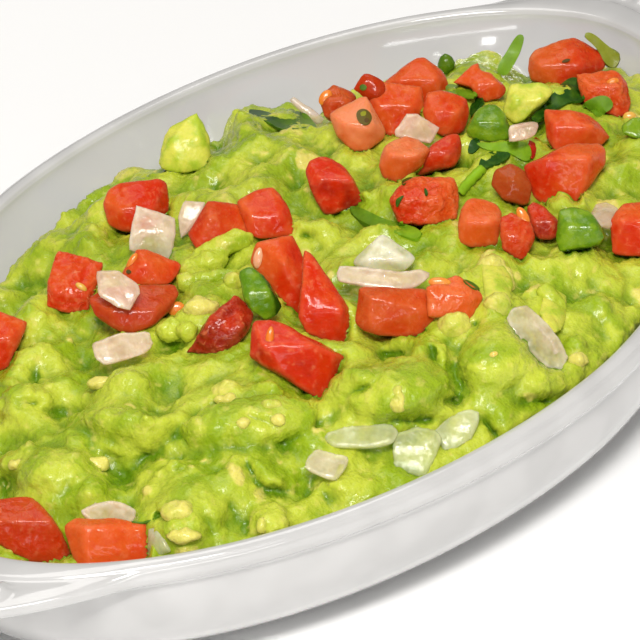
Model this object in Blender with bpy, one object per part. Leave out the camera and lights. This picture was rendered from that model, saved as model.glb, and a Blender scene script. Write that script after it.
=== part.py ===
# Guacamole with a fresh tomato salsa, served in an oval eared porcelain dish.
# Metres, +Z up. The origin is the middle of the dish's underside, +X along its long axis.

import math
import random

import bmesh
import bpy
from mathutils import Euler, Matrix, Vector, noise
from mathutils.bvhtree import BVHTree

MM = 0.001

# Dish
OPENING_HALF_LENGTH = 90 * MM
OPENING_HALF_WIDTH = 60 * MM
OUTLINE_POWER = 1.8         # 2 is an ellipse, and a lower power draws the ends to a slight point
DISH_HEIGHT = 25 * MM
FLOOR_HEIGHT = 4.5 * MM     # top of the dish's floor
RIM_WIDTH = 3.5 * MM
INNER_WALL_TOP = 24.2 * MM
INNER_WALL_RUN = 16 * MM    # how far the inner wall comes in from rim to floor
OUTER_WALL_TOP = 20.8 * MM
OUTER_WALL_OUT = 1.9 * MM
OUTER_WALL_RUN = 17 * MM
WALL_POWER = 2.3
FOOT_TOP = 1.6 * MM
FOOT_WIDTH = 3 * MM
FOOT_RECESS = 0.8 * MM
EAR_HALF_LENGTH = 107 * MM  # from the middle of the dish to the tip of an ear
EAR_HALF_WIDTH = 54 * MM
EAR_POWER = 1.5
EAR_BLEND = 1.2 * MM
RIB_COUNT = 5
RIB_LENGTH = 7 * MM
RIB_WIDTH = 2.6 * MM
RIB_HEIGHT = 1.6 * MM
RIB_SPACING = 4 * MM
ROUND_STEPS = 48            # divisions around the dish and the guacamole
WALL_STEPS = 5

# Guacamole
WALL_GAP = 0.4 * MM
PIECE_GAP = 0.3 * MM
DOME_POWER = 3.5
DOME_RINGS = 13
UNEVEN_SIZE = 7.5 * MM
UNEVEN_DEPTH = 5 * MM

# Rim profile from the inner edge outwards: outwards from the opening, height, share of the ear's
# reach that the point takes, and how far it stands higher there than along the sides.
RIM_PROFILE = (
    (0.0, 24.2, 0.00, 0.0),
    (0.5, 24.8, 0.01, 0.0),
    (1.6, 25.0, 0.06, 0.0),
    (2.6, 24.6, 0.22, 0.2),
    (2.9, 24.2, 0.30, 0.1),
    (3.2, 23.7, 0.62, 0.6),
    (3.4, 23.0, 0.95, 1.0),
    (3.5, 22.4, 1.00, 0.9),
    (3.3, 21.8, 0.97, 0.0),
    (2.3, 21.2, 0.55, -0.6),
)

# Swells and hollows of the guacamole's surface: x, y, height, half-length, half-width, turn.
SWELLS = (
    (-28, -38, 4.5, 10, 8, -20),
    (-12, -47, 3.0, 10, 7, 10),
    (-22, -46, -3.0, 7, 3, 30),
    (-62, -1, -3.5, 3, 9, 8),
    (-70, -12, -3.0, 6, 3, 10),
    (-56, -4, 2.5, 4, 9, 5),
    (-69, 3, 2.5, 7, 7, 0),
    (-66, -23, 2.5, 9, 6, 20),
    (-76, 13, -3.0, 3, 8, 20),
    (-56, 18, 2.0, 5, 5, 0),
    (-51, 9, -2.0, 2, 6, 0),
    (-47, -22, 2.0, 10, 5, -50),
    (-40, -31, -2.0, 8, 3, -30),
    (-52, -35, -2.5, 5, 3, 0),
    (-38, 18, -3.0, 4, 4, 0),
    (-20, -33, -2.5, 3, 7, -20),
    (-3, -40, 3.0, 5, 5, 0),
    (6, 20, 1.5, 14, 7, 10),
    (27, 30, 2.0, 9, 6, 20),
    (12, -12, -1.5, 4, 8, 0),
    (-8, 42, 1.5, 12, 5, 0),
    (55, -34, 2.0, 10, 8, 0),
    (-22, 3, 2.5, 6, 5, 0),
    (35, -46, -2.0, 5, 4, 0),
)

# Chopped toppings, in millimetres and degrees: x, y, rise of the middle over the guacamole,
# long, wide, tall, turn, pitch, roll. Under a pile come first, the pieces on top last.
TOMATOES = (
    (-45, 33, 4, 13, 11, 9, -60, 0, 0),
    (-27, 29, 2, 9, 8, 10, -40, 0, 10),
    (-31, 11, 2, 13, 9, 7, -62, 0, 0),
    (-19, 17, 3, 10, 6, 5, -80, 0, 10),
    (-2, 33, 3, 10, 9, 8, -8, 5, 0),
    (-6, 14, 3, 8, 7, 7, -30, 0, 15),
    (0, 8, 2, 10, 8, 7, -62, 8, 0),
    (-12, -4, 2, 11, 7, 7, 52, 20, 0),
    (-18, -17, 2, 17, 6, 7, 62, 26, 0),
    (-33, -22, 4, 17, 7, 7, 75, 6, 0),
    (-30.5, -3.8, 1.5, 12, 8, 7, -62, 0, 0),
    (14, 3, 2, 10, 8, 8, -50, 0, 20),
    (-15, -30, 3, 13, 8, 7, -66, 0, 0),
    (-9, -37, 2, 8, 7, 6, -58, 0, 0),
    (15, -15, 3, 12, 8, 7, -58, 0, 0),
    (14, -27, 2, 8, 8, 8, -70, 0, 0),
    (14, -35, 2, 6, 5, 7, -100, 0, 10),
    (20, -36, 2, 6, 5, 6, 70, 20, 0),
    (27, -26, 2, 7, 6, 7, -60, 0, 0),
    (34, -31, 3, 13, 9, 9, -80, 0, 0),
    (49, -23, 2, 11, 8, 7, -70, 0, 10),
    (64, -19, 2, 9, 7, 7, -50, 0, 0),
    (70, -8, 1.5, 12, 8, 7, -75, 0, 0),
    (54, 0, 2, 10, 7, 6, -55, -8, 0),
    (51, 11, 2, 11, 8, 7, -52, 0, 0),
    (43, -1, 2, 9, 8, 9, -62, 0, 0),
    (31, -9, 2, 7, 7, 7, -62, 0, 0),
    (41, 9, 3, 9, 7, 7, -60, 0, 0),
    (38, 18, 1, 7, 7, 7, -40, 0, 0),
    (32, 10, 3.5, 9, 9, 7, -18, 0, -20),
    (25, -5, 2.5, 9, 8, 7, -60, 0, 0),
    (29, -49, 3, 11, 8, 8, -64, 0, 0),
    (-81, -1, 0, 14, 9, 8, -75, 0, 0),
    (-80, -17, 2, 12, 6, 7, -72, 0, 0),
    (-63, 27, 1, 11, 9, 7, 30, 0, 0),
    (47, -42, 1, 11, 9, 7, -20, 0, 0),
    (74, -22, 1, 10, 8, 7, 40, 0, 0),
)
ONIONS = (
    (-10, 24, 1, 8, 9, 3, -70, 0, 65),
    (-5, 19, 2, 5, 7, 2.5, -60, 0, 55),
    (-32, 14, 7, 7, 6, 3, -72, 0, 15),
    (-41.5, 7, 3.2, 9.5, 5, 3, -56, 0, 18),
    (-3, -19, 2, 9, 7, 5, -60, 0, 10),
    (-11, -23.5, 6.5, 15, 4, 3, -70, 0, 10),
    (34, -1, 6, 7, 6, 3, -50, 0, 0),
    (41.7, -17.6, 4, 6, 4, 2.5, -40, 0, 10),
    (-6, -50, 1, 13, 5, 3, 60, 20, 0),
    (-41, -40, 1.5, 11, 4, 3, -60, 0, 20),
    (-37, -50, -1, 6, 5, 4, -60, 0, 25),
    (-29, -51, 0, 9, 4, 4, -12, 0, 20),
    (-49, -39, 0.5, 6.5, 5, 3, -60, 0, 25),
    (-74, -13, 1, 9, 5, 3, -62, 0, 15),
)
PEPPERS = (
    (-22, -7, 3.5, 10, 5, 4.5, 62, 20, 0),
    (42, -11, 2, 8, 6, 5, -60, 0, 20),
    (22.5, -43, 0, 6, 5, 4, -60, 0, 0),
    (55, -32, 1, 9, 6, 5, -70, 0, 0),
)
AVOCADOS = (
    (19, 38.5, 2.5, 9, 8, 11, 30, 0, 0),
    (52, -11, 5, 9, 6, 5, -20, 0, 0),
)

# Settling: how far a topping may be moved off its place to clear its neighbours.
SETTLE_STEP = 0.5 * MM
SETTLE_REACH = 12
SETTLE_LIFT = 24


def clear_scene():
    for found in list(bpy.data.objects):
        bpy.data.objects.remove(found, do_unlink=True)


def new_collection(name, hidden=False):
    made = bpy.data.collections.new(name)
    bpy.context.scene.collection.children.link(made)
    made.hide_render = hidden
    return made


def new_material(name, colour, roughness, metallic=0.0):
    made = bpy.data.materials.new(name)
    made.use_nodes = True
    shader = made.node_tree.nodes["Principled BSDF"]
    shader.inputs["Base Color"].default_value = (*colour, 1.0)
    shader.inputs["Roughness"].default_value = roughness
    shader.inputs["Metallic"].default_value = metallic
    made.diffuse_color = (*colour, 1.0)
    return made


def new_object(name, bm, material, collection):
    bmesh.ops.recalc_face_normals(bm, faces=bm.faces)
    mesh = bpy.data.meshes.new(name)
    bm.to_mesh(mesh)
    bm.free()
    mesh.materials.append(material)
    made = bpy.data.objects.new(name, mesh)
    collection.objects.link(made)
    return made


def signed_power(value, power):
    return math.copysign(abs(value) ** power, value)


def oval_point(angle, out):
    """A point of the opening's outline, grown outwards by out."""
    power = 2 / OUTLINE_POWER
    return Vector((
        (OPENING_HALF_LENGTH + out) * signed_power(math.cos(angle), power),
        (OPENING_HALF_WIDTH + out) * signed_power(math.sin(angle), power),
    ))


def round_angles():
    return [2 * math.pi * step / ROUND_STEPS for step in range(ROUND_STEPS)]


def ear_reach(point):
    """How far the ear's outline lies beyond the rim's, along X, at the height of this rim point."""
    across = min(abs(point.y) / EAR_HALF_WIDTH, 1)
    tip = EAR_HALF_LENGTH * (1 - across ** EAR_POWER) ** (1 / EAR_POWER)
    past = tip - abs(point.x)
    return 0.5 * (past + math.hypot(past, EAR_BLEND)) if abs(point.y) < EAR_HALF_WIDTH * 0.8 else 0.0


def rim_ring(out, height, ear_share, ear_lift):
    """One closed line of the rim, drawn out into an ear at each end."""
    longest = EAR_HALF_LENGTH - OPENING_HALF_LENGTH - RIM_WIDTH
    ring = []
    for angle in round_angles():
        point = oval_point(angle, out * MM)
        reach = ear_reach(oval_point(angle, RIM_WIDTH))
        lift = ear_lift * MM * min(reach / longest, 1)
        along = math.copysign(ear_share * reach, math.cos(angle))
        ring.append((point.x + along, point.y, height * MM + lift))
    return ring


def flat_ring(out, height):
    return [(*oval_point(angle, out), height) for angle in round_angles()]


def wall_curve(share, top, bottom, out, run):
    """Offset and height on the wall's rounded profile, share 0 at its top and 1 at its foot."""
    turn = share * math.pi / 2
    offset = out - run + run * math.cos(turn) ** (2 / WALL_POWER)
    return offset, top - (top - bottom) * math.sin(turn) ** (2 / WALL_POWER)


def inner_wall(share):
    return wall_curve(share, INNER_WALL_TOP, FLOOR_HEIGHT, 0.0, INNER_WALL_RUN)


def outer_wall(share):
    return wall_curve(share, OUTER_WALL_TOP, FOOT_TOP, OUTER_WALL_OUT, OUTER_WALL_RUN)


def inner_wall_offset(height):
    """How far the inner wall's facets have come in at this height."""
    corners = [inner_wall(step / WALL_STEPS) for step in range(WALL_STEPS + 1)]
    for (upper_out, upper), (lower_out, lower) in zip(corners, corners[1:]):
        if height >= lower:
            return upper_out + (lower_out - upper_out) * (upper - height) / (upper - lower)
    return corners[-1][0]


def loft(rings):
    """A closed body through these rings, its first and last ring filled flat."""
    bm = bmesh.new()
    lines = [[bm.verts.new(point) for point in ring] for ring in rings]
    for line, following in zip(lines, lines[1:]):
        for step in range(len(line)):
            after = (step + 1) % len(line)
            bm.faces.new((line[step], line[after], following[after], following[step]))
    bm.faces.new(lines[0])
    bm.faces.new(lines[-1])
    return bm


def make_dish(material, collection, cutters):
    inner = [flat_ring(*inner_wall(1 - step / WALL_STEPS)) for step in range(WALL_STEPS)]
    rim = [rim_ring(*row) for row in RIM_PROFILE]
    outer = [flat_ring(*outer_wall(step / WALL_STEPS)) for step in range(WALL_STEPS)]
    foot_out = OUTER_WALL_OUT - OUTER_WALL_RUN
    foot_in = foot_out - FOOT_WIDTH
    foot = [
        flat_ring(foot_out, FOOT_TOP),
        flat_ring(foot_out, 0.0),
        flat_ring(foot_in, 0.0),
        flat_ring(foot_in, FOOT_RECESS),
    ]
    dish = new_object("dish", loft(inner + rim + outer + foot), material, collection)
    union = dish.modifiers.new("ribs", "BOOLEAN")
    union.operation = "UNION"
    union.solver = "EXACT"
    union.operand_type = "COLLECTION"
    union.collection = cutters
    for end in (-1, 1):
        for place in range(RIB_COUNT):
            make_rib(end, place - (RIB_COUNT - 1) / 2, material, cutters)
    return dish


def make_rib(end, place, material, cutters):
    """One raised rib of the fan on an ear, long axis outwards."""
    bm = bmesh.new()
    bmesh.ops.create_icosphere(bm, subdivisions=1, radius=0.5)
    fan = place * math.radians(9)
    size = Matrix.Diagonal((RIB_LENGTH * (1 - 0.12 * abs(place)), RIB_WIDTH, RIB_HEIGHT, 1))
    out = OPENING_HALF_LENGTH + 11.3 * MM - 0.9 * MM * place ** 2
    spot = Matrix.Translation((out, place * RIB_SPACING, 24.1 * MM))
    side = Matrix.Rotation(math.pi if end < 0 else 0.0, 4, "Z")
    bmesh.ops.transform(bm, matrix=side @ spot @ Matrix.Rotation(fan, 4, "Z") @ size, verts=bm.verts)
    rib = new_object(f"rib_{'left' if end < 0 else 'right'}_{place:+.0f}", bm, material, cutters)
    rib.hide_render = True
    rib.display_type = "WIRE"
    return rib


def edge_height(x, y):
    """Height at which the guacamole meets the wall, lowest at the far left."""
    across = y / OPENING_HALF_WIDTH
    along = x / OPENING_HALF_LENGTH
    drop = -6.0 - 3.5 * across + 5.0 * along * max(across, 0)
    return DISH_HEIGHT + drop * MM


def surface_height(x, y):
    """Height of the guacamole's uneven top."""
    spread = (
        abs(x / OPENING_HALF_LENGTH) ** OUTLINE_POWER + abs(y / OPENING_HALF_WIDTH) ** OUTLINE_POWER
    ) ** (1 / OUTLINE_POWER)
    fade = max(1 - min(spread, 1) ** DOME_POWER, 0)
    edge = edge_height(x, y)
    crown = DISH_HEIGHT + (6.0 - 3.0 * y / OPENING_HALF_WIDTH) * MM
    height = edge + (crown - edge) * fade
    for swell_x, swell_y, tall, half_long, half_wide, turn in SWELLS:
        away = Vector((x / MM - swell_x, y / MM - swell_y))
        away.rotate(Matrix.Rotation(-math.radians(turn), 2))
        height += tall * MM * math.exp(-((away.x / half_long) ** 2) - (away.y / half_wide) ** 2)
    place = Vector((x, y, 0.0)) / UNEVEN_SIZE
    return height + UNEVEN_DEPTH * noise.noise(place) * min(fade * 3, 1)


def make_guacamole(material, collection, cutters):
    angles = round_angles()
    edges = []
    for angle in angles:
        at_rim = oval_point(angle, 0.0)
        height = edge_height(at_rim.x, at_rim.y)
        spot = oval_point(angle, inner_wall_offset(height) - WALL_GAP)
        edges.append((spot.x, spot.y, height))
    rings = []
    bottom = FLOOR_HEIGHT + WALL_GAP
    for step in range(WALL_STEPS - 1):
        share = (step / (WALL_STEPS - 1)) ** 1.5
        ring = []
        for angle, edge in zip(angles, edges):
            height = bottom + (edge[2] - bottom) * share
            spot = oval_point(angle, inner_wall_offset(height) - WALL_GAP)
            ring.append((spot.x, spot.y, height))
        rings.append(ring)
    rings.append(edges)
    for step in range(1, DOME_RINGS):
        inward = 1 - step / DOME_RINGS
        ring = []
        for x, y, _ in edges:
            ring.append((x * inward, y * inward, surface_height(x * inward, y * inward)))
        rings.append(ring)
    bm = loft(rings)
    bmesh.ops.poke(bm, faces=[face for face in bm.faces if len(face.verts) > 4][1:])
    whole = new_object("guacamole_whole", bm, material, cutters)
    cut = whole.modifiers.new("pockets", "BOOLEAN")
    cut.operation = "DIFFERENCE"
    cut.solver = "EXACT"
    cut.operand_type = "COLLECTION"
    cut.collection = bpy.data.collections["pockets"]
    cut_mesh = evaluated_mesh(whole)
    bpy.data.objects.remove(whole, do_unlink=True)
    return new_object("guacamole", largest_body(cut_mesh), material, collection)


def evaluated_mesh(source):
    graph = bpy.context.evaluated_depsgraph_get()
    return bpy.data.meshes.new_from_object(source.evaluated_get(graph))


def largest_body(mesh):
    """The mesh without the crumbs that the pockets cut loose."""
    bm = bmesh.new()
    bm.from_mesh(mesh)
    waiting = set(bm.verts)
    bodies = []
    while waiting:
        body = set()
        front = [waiting.pop()]
        while front:
            vert = front.pop()
            body.add(vert)
            for edge in vert.link_edges:
                other = edge.other_vert(vert)
                if other in waiting:
                    waiting.discard(other)
                    front.append(other)
        bodies.append(body)
    bodies.sort(key=len)
    for body in bodies[:-1]:
        bmesh.ops.delete(bm, geom=list(body), context="VERTS")
    return bm


def chopped_block(long, wide, tall, rounding, dice):
    """A knife-cut block with eased edges, a little out of square."""
    bm = bmesh.new()
    bmesh.ops.create_cube(bm, size=1)
    bmesh.ops.subdivide_edges(bm, edges=bm.edges, cuts=1, use_grid_fill=True)
    taper = dice.uniform(-0.16, 0.16)
    lean = dice.uniform(-0.14, 0.14)
    skew = dice.uniform(-0.14, 0.14)
    for vert in bm.verts:
        spot = vert.co * 2
        faces_met = sum(abs(value) > 0.5 for value in spot)
        spot *= 1 - rounding * (faces_met - 1)
        narrow = 1 + taper * spot.x
        vert.co = Vector((
            (spot.x + lean * spot.z) * long / 2,
            (spot.y + skew * spot.x) * wide / 2 * narrow,
            spot.z * tall / 2 * narrow,
        ))
    return bm


def curved_slab(long, wide, thick, bend, taper):
    """A strip of an onion's layer or a pepper's wall, curved along its length."""
    bm = bmesh.new()
    bmesh.ops.create_cube(bm, size=1)
    lengthways = [edge for edge in bm.edges if abs((edge.verts[0].co - edge.verts[1].co).x) > 0.5]
    bmesh.ops.subdivide_edges(bm, edges=lengthways, cuts=2)
    radius = long / bend
    for vert in bm.verts:
        share = vert.co.x * 2
        narrow = 1 - taper * share ** 2
        depth = radius + vert.co.z * thick * (1 - 0.3 * taper * share ** 2)
        swing = vert.co.x * bend
        vert.co = Vector((
            depth * math.sin(swing),
            vert.co.y * wide * narrow,
            depth * math.cos(swing) - radius,
        ))
    return bm


def inflated(points, gap):
    """The same points moved out from their middle by about the gap."""
    middle = sum(points, Vector()) / len(points)
    return [point + (point - middle).normalized() * gap * 1.6 for point in points]


def settle(bm, spot, turned, obstacles):
    """Moves the body to its place, or to the nearest place that clears its neighbours."""
    bmesh.ops.transform(bm, matrix=turned.to_4x4(), verts=bm.verts)
    faces = [[vert.index for vert in face.verts] for face in bm.faces]
    bm.verts.ensure_lookup_table()
    grown = inflated([vert.co.copy() for vert in bm.verts], PIECE_GAP)
    moves = [Vector((0, 0, 0))]
    for lift in range(SETTLE_LIFT):
        for reach in range(SETTLE_REACH):
            for side in range(12 if reach else 1):
                angle = side * math.pi / 6
                flat = Vector((math.cos(angle), math.sin(angle), 0)) * reach
                moves.append((flat + Vector((0, 0, lift))) * SETTLE_STEP)
    moves.sort(key=lambda move: math.hypot(move.x, move.y) * 1.3 + move.z)
    for move in moves:
        tree = BVHTree.FromPolygons([point + spot + move for point in grown], faces)
        if not any(tree.overlap(other) for other in obstacles):
            break
    bmesh.ops.translate(bm, vec=spot + move, verts=bm.verts)
    obstacles.append(BVHTree.FromBMesh(bm))


def make_topping(name, row, bm, material, collection, pockets, obstacles):
    x, y, rise = (value * MM for value in row[:3])
    turn, pitch, roll = (math.radians(value) for value in row[6:])
    spot = Vector((x, y, surface_height(x, y) + rise))
    settle(bm, spot, Euler((roll, -pitch, turn), "XYZ").to_matrix(), obstacles)
    pocket = bm.copy()
    grown = inflated([vert.co.copy() for vert in pocket.verts], PIECE_GAP)
    for vert, place in zip(pocket.verts, grown):
        vert.co = place
    new_object(name, bm, material, collection)
    cutter = new_object(f"{name}_pocket", pocket, material, pockets)
    cutter.hide_render = True
    cutter.display_type = "WIRE"


def make_toppings(collection, pockets, dish):
    tomato = new_material("tomato flesh", (0.72, 0.05, 0.02), 0.25)
    onion = new_material("onion", (0.80, 0.72, 0.55), 0.25)
    pepper = new_material("green pepper", (0.10, 0.22, 0.02), 0.3)
    avocado = new_material("avocado chunk", (0.60, 0.65, 0.12), 0.4)
    obstacles = [BVHTree.FromPolygons(
        [vert.co for vert in dish.data.vertices], [face.vertices for face in dish.data.polygons]
    )]
    dice = random.Random(11)
    kinds = (
        ("tomato", TOMATOES, tomato, lambda size: chopped_block(*size, 0.08, dice)),
        ("pepper", PEPPERS, pepper, lambda size: curved_slab(*size, 0.9, 0.35)),
        ("avocado", AVOCADOS, avocado, lambda size: chopped_block(*size, 0.16, dice)),
        ("onion", ONIONS, onion, lambda size: curved_slab(*size, 0.6, 0.2)),
    )
    for kind, rows, material, shaped in kinds:
        for number, row in enumerate(rows, 1):
            bm = shaped([value * MM for value in row[3:6]])
            name = f"{kind}_{number:02d}"
            make_topping(name, row, bm, material, collection, pockets, obstacles)


def main():
    clear_scene()
    parts = new_collection("guacamole in a dish")
    helpers = new_collection("ribs", hidden=True)
    pockets = new_collection("pockets", hidden=True)
    porcelain = new_material("white porcelain", (0.86, 0.86, 0.85), 0.12)
    mashed = new_material("mashed avocado", (0.42, 0.52, 0.06), 0.35)
    dish = make_dish(porcelain, parts, helpers)
    make_toppings(parts, pockets, dish)
    make_guacamole(mashed, parts, new_collection("whole", hidden=True))
    for made in parts.objects:
        made.data.shade_smooth()
        made.data.set_sharp_from_angle(angle=math.radians(40))


main()
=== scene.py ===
# Guacamole with a fresh tomato salsa in an oval eared dish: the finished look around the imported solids.

import math

import bmesh
import bpy
import numpy as np
from mathutils import Matrix, Vector, geometry, noise
from mathutils.bvhtree import BVHTree


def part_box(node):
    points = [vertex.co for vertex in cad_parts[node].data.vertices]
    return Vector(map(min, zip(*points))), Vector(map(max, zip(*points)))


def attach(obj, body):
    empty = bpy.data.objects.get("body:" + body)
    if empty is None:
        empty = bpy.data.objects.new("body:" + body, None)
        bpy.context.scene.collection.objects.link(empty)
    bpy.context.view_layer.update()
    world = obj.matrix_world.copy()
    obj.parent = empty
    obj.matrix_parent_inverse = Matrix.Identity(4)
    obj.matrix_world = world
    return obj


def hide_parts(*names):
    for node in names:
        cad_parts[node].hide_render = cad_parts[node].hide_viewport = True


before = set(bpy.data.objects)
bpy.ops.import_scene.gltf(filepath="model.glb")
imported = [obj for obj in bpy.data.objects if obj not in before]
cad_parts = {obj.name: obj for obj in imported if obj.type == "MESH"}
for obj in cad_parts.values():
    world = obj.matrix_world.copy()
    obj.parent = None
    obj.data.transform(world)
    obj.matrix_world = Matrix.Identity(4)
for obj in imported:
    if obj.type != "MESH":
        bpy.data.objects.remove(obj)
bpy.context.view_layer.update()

mm = 0.001
upwards = Vector((0, 0, 1))


class Wire:  # a socket that can stand in a sum, each sum adding its own Math node
    def __init__(self, board, socket):
        self.board = board
        self.socket = socket

    def __add__(self, other):
        return self.board.maths("ADD", self, other)

    def __radd__(self, other):
        return self.board.maths("ADD", other, self)

    def __sub__(self, other):
        return self.board.maths("SUBTRACT", self, other)

    def __rsub__(self, other):
        return self.board.maths("SUBTRACT", other, self)

    def __mul__(self, other):
        return self.board.maths("MULTIPLY", self, other)

    def __rmul__(self, other):
        return self.board.maths("MULTIPLY", other, self)

    def __truediv__(self, other):
        return self.board.maths("DIVIDE", self, other)

    def __rtruediv__(self, other):
        return self.board.maths("DIVIDE", other, self)

    def __pow__(self, other):
        return self.board.maths("POWER", self, other)


class Board:  # one node tree and the ways to add to it
    def __init__(self, tree):
        self.tree = tree

    def add(self, kind, settings=None, sockets=None, out=0):
        node = self.tree.nodes.new(kind)
        for name, value in (settings or {}).items():
            setattr(node, name, value)
        for name, value in (sockets or {}).items():
            self.feed(value, node.inputs[name])
        return Wire(self, node.outputs[out])

    def feed(self, value, socket):
        if isinstance(value, Wire):
            self.tree.links.new(value.socket, socket)
        else:
            socket.default_value = value

    def maths(self, operation, *values, clamp=False):
        settings = {"operation": operation, "use_clamp": clamp}
        return self.add("ShaderNodeMath", settings, dict(enumerate(values)))

    def clamped(self, value):
        return self.maths("ADD", value, 0.0, clamp=True)

    def smoothStep(self, value, low, high):
        settings = {"interpolation_type": "SMOOTHSTEP"}
        return self.add("ShaderNodeMapRange", settings, {0: value, 1: low, 2: high})

    def mixColour(self, share, first, second):
        settings = {"data_type": "RGBA", "clamp_factor": True}
        return self.add("ShaderNodeMix", settings, {0: share, 6: first, 7: second}, out=2)

    def attribute(self, name):
        return self.add("ShaderNodeAttribute", {"attribute_name": name}, out="Fac")

    def objectPlace(self, stretch=(1, 1, 1), turn=(0, 0, 0)):
        spot = self.add("ShaderNodeTexCoord", out="Object")
        return self.add("ShaderNodeMapping", None, {"Vector": spot, "Rotation": turn, "Scale": stretch})

    def grain(self, place, size, detail=2.0, distortion=0.0):
        sockets = {"Vector": place, "Scale": 1 / size, "Detail": detail, "Distortion": distortion}
        return self.add("ShaderNodeTexNoise", None, sockets)

    def bump(self, height, strength, distance, under=None):
        sockets = {"Height": height, "Strength": strength, "Distance": distance}
        if under:
            sockets["Normal"] = under
        return self.add("ShaderNodeBump", None, sockets)


def colour(red, green, blue):
    shades = []
    for value in (red, green, blue):
        share = value / 255
        shades.append(share / 12.92 if share <= 0.04045 else ((share + 0.055) / 1.055) ** 2.4)
    return (*shades, 1.0)


def newForm(name, inputs):  # a geometry tree with these named inputs: socket type and default
    tree = bpy.data.node_groups.new(name, "GeometryNodeTree")
    tree.interface.new_socket("Geometry", in_out="INPUT", socket_type="NodeSocketGeometry")
    tree.interface.new_socket("Geometry", in_out="OUTPUT", socket_type="NodeSocketGeometry")
    for label, (kind, value) in inputs.items():
        made = tree.interface.new_socket(label, in_out="INPUT", socket_type=f"NodeSocket{kind}")
        if value is not None:
            made.default_value = value
    board = Board(tree)
    entry = tree.nodes.new("NodeGroupInput")
    wires = {socket.name: Wire(board, socket) for socket in entry.outputs if socket.name}
    return board, wires


def endForm(board, geometry, material):  # every tree ends in real mesh with its material set
    real = board.add("GeometryNodeRealizeInstances", None, {"Geometry": geometry})
    painted = board.add("GeometryNodeSetMaterial", None, {"Geometry": real, "Material": material})
    leave = board.tree.nodes.new("NodeGroupOutput")
    board.feed(painted, leave.inputs["Geometry"])
    return board.tree


def growForm(piece, tree, values):  # runs the tree on the piece and keeps the result as plain mesh
    modifier = piece.modifiers.new(tree.name, "NODES")
    modifier.node_group = tree
    sockets = {item.name: item.identifier for item in tree.interface.items_tree if item.in_out == "INPUT"}
    for label, value in values.items():
        modifier[sockets[label]] = value
    settle(piece)


def settle(piece):  # applies every modifier on the piece
    graph = bpy.context.evaluated_depsgraph_get()
    graph.update()
    done = bpy.data.meshes.new_from_object(
        piece.evaluated_get(graph), preserve_all_data_layers=True, depsgraph=graph
    )
    piece.modifiers.clear()
    before = piece.data
    piece.data = done
    bpy.data.meshes.remove(before)
    done.name = piece.name


def newPiece(name, mesh, material=None):
    made = bpy.data.objects.new(name, mesh)
    bpy.context.scene.collection.objects.link(made)
    if material:
        paintOver(made.data, material)
    return made


def paintOver(mesh, material):  # one material for the whole piece
    mesh.materials.clear()
    mesh.materials.append(material)


def meshOf(name, points, faces):
    mesh = bpy.data.meshes.new(name)
    mesh.from_pydata([tuple(point) for point in points], [], faces)
    mesh.update()
    return mesh


def meshFrom(bm, name):  # a new mesh of what bm holds, which is then freed
    mesh = bpy.data.meshes.new(name)
    bm.to_mesh(mesh)
    bm.free()
    return mesh


def faceOutwards(mesh):
    bm = bmesh.new()
    bm.from_mesh(mesh)
    bmesh.ops.recalc_face_normals(bm, faces=bm.faces)
    bm.to_mesh(mesh)
    bm.free()


def ringFaces(rings, around):  # the faces between each ring of points and the next
    faces = []
    for ring in range(rings - 1):
        start = ring * around
        for step in range(around):
            after = (step + 1) % around
            faces.append((start + step, start + after, start + around + after, start + around + step))
    return faces


def endFaces(rings, around):  # closes the first ring and the last
    count = rings * around
    return [tuple(reversed(range(around))), tuple(range(count - around, count))]


def pointsOf(mesh):
    flat = np.empty(len(mesh.vertices) * 3, np.float32)
    mesh.vertices.foreach_get("co", flat)
    return flat.reshape(-1, 3).astype(float)


def movePoints(mesh, points):
    mesh.vertices.foreach_set("co", points.astype(np.float32).ravel())
    mesh.update()


def normalsOf(mesh):
    flat = np.empty(len(mesh.vertices) * 3, np.float32)
    mesh.vertices.foreach_get("normal", flat)
    return flat.reshape(-1, 3).astype(float)


def writeMask(mesh, name, values):  # a number for each point, or one for all, that the materials read
    layer = mesh.attributes.new(name, "FLOAT", "POINT")
    layer.data.foreach_set("value", np.full(len(mesh.vertices), values, np.float32))


def hideSeams(piece, angle=180):
    piece.data.shade_smooth()
    if angle < 180:
        piece.data.set_sharp_from_angle(angle=math.radians(angle))


def finishPiece(piece, slot, *nodes):
    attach(piece, "root")
    if nodes:
        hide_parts(*nodes)
    return piece


def noiseAt(points, size, shift=0.0):  # smooth noise, about -1 to 1, at each point
    spots = points / size + shift
    return np.array([noise.noise(spot) for spot in map(Vector, spots.tolist())])


def newFinish(name, look):
    made = bpy.data.materials.new(name)
    made.use_nodes = True
    shader = made.node_tree.nodes["Principled BSDF"]
    for label, value in look.items():
        shader.inputs[label].default_value = value
    board = Board(made.node_tree)
    return made, board, shader


def softFinish(name, look, weight, reach):  # light sinks in; reach of red, green and blue in millimetres
    return newFinish(name, look | {
        "Subsurface Weight": weight, "Subsurface Scale": 1.0,
        "Subsurface Radius": [far * mm for far in reach],
    })


def paint(board, shader, links):
    for label, wire in links.items():
        board.feed(wire, shader.inputs[label])


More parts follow.
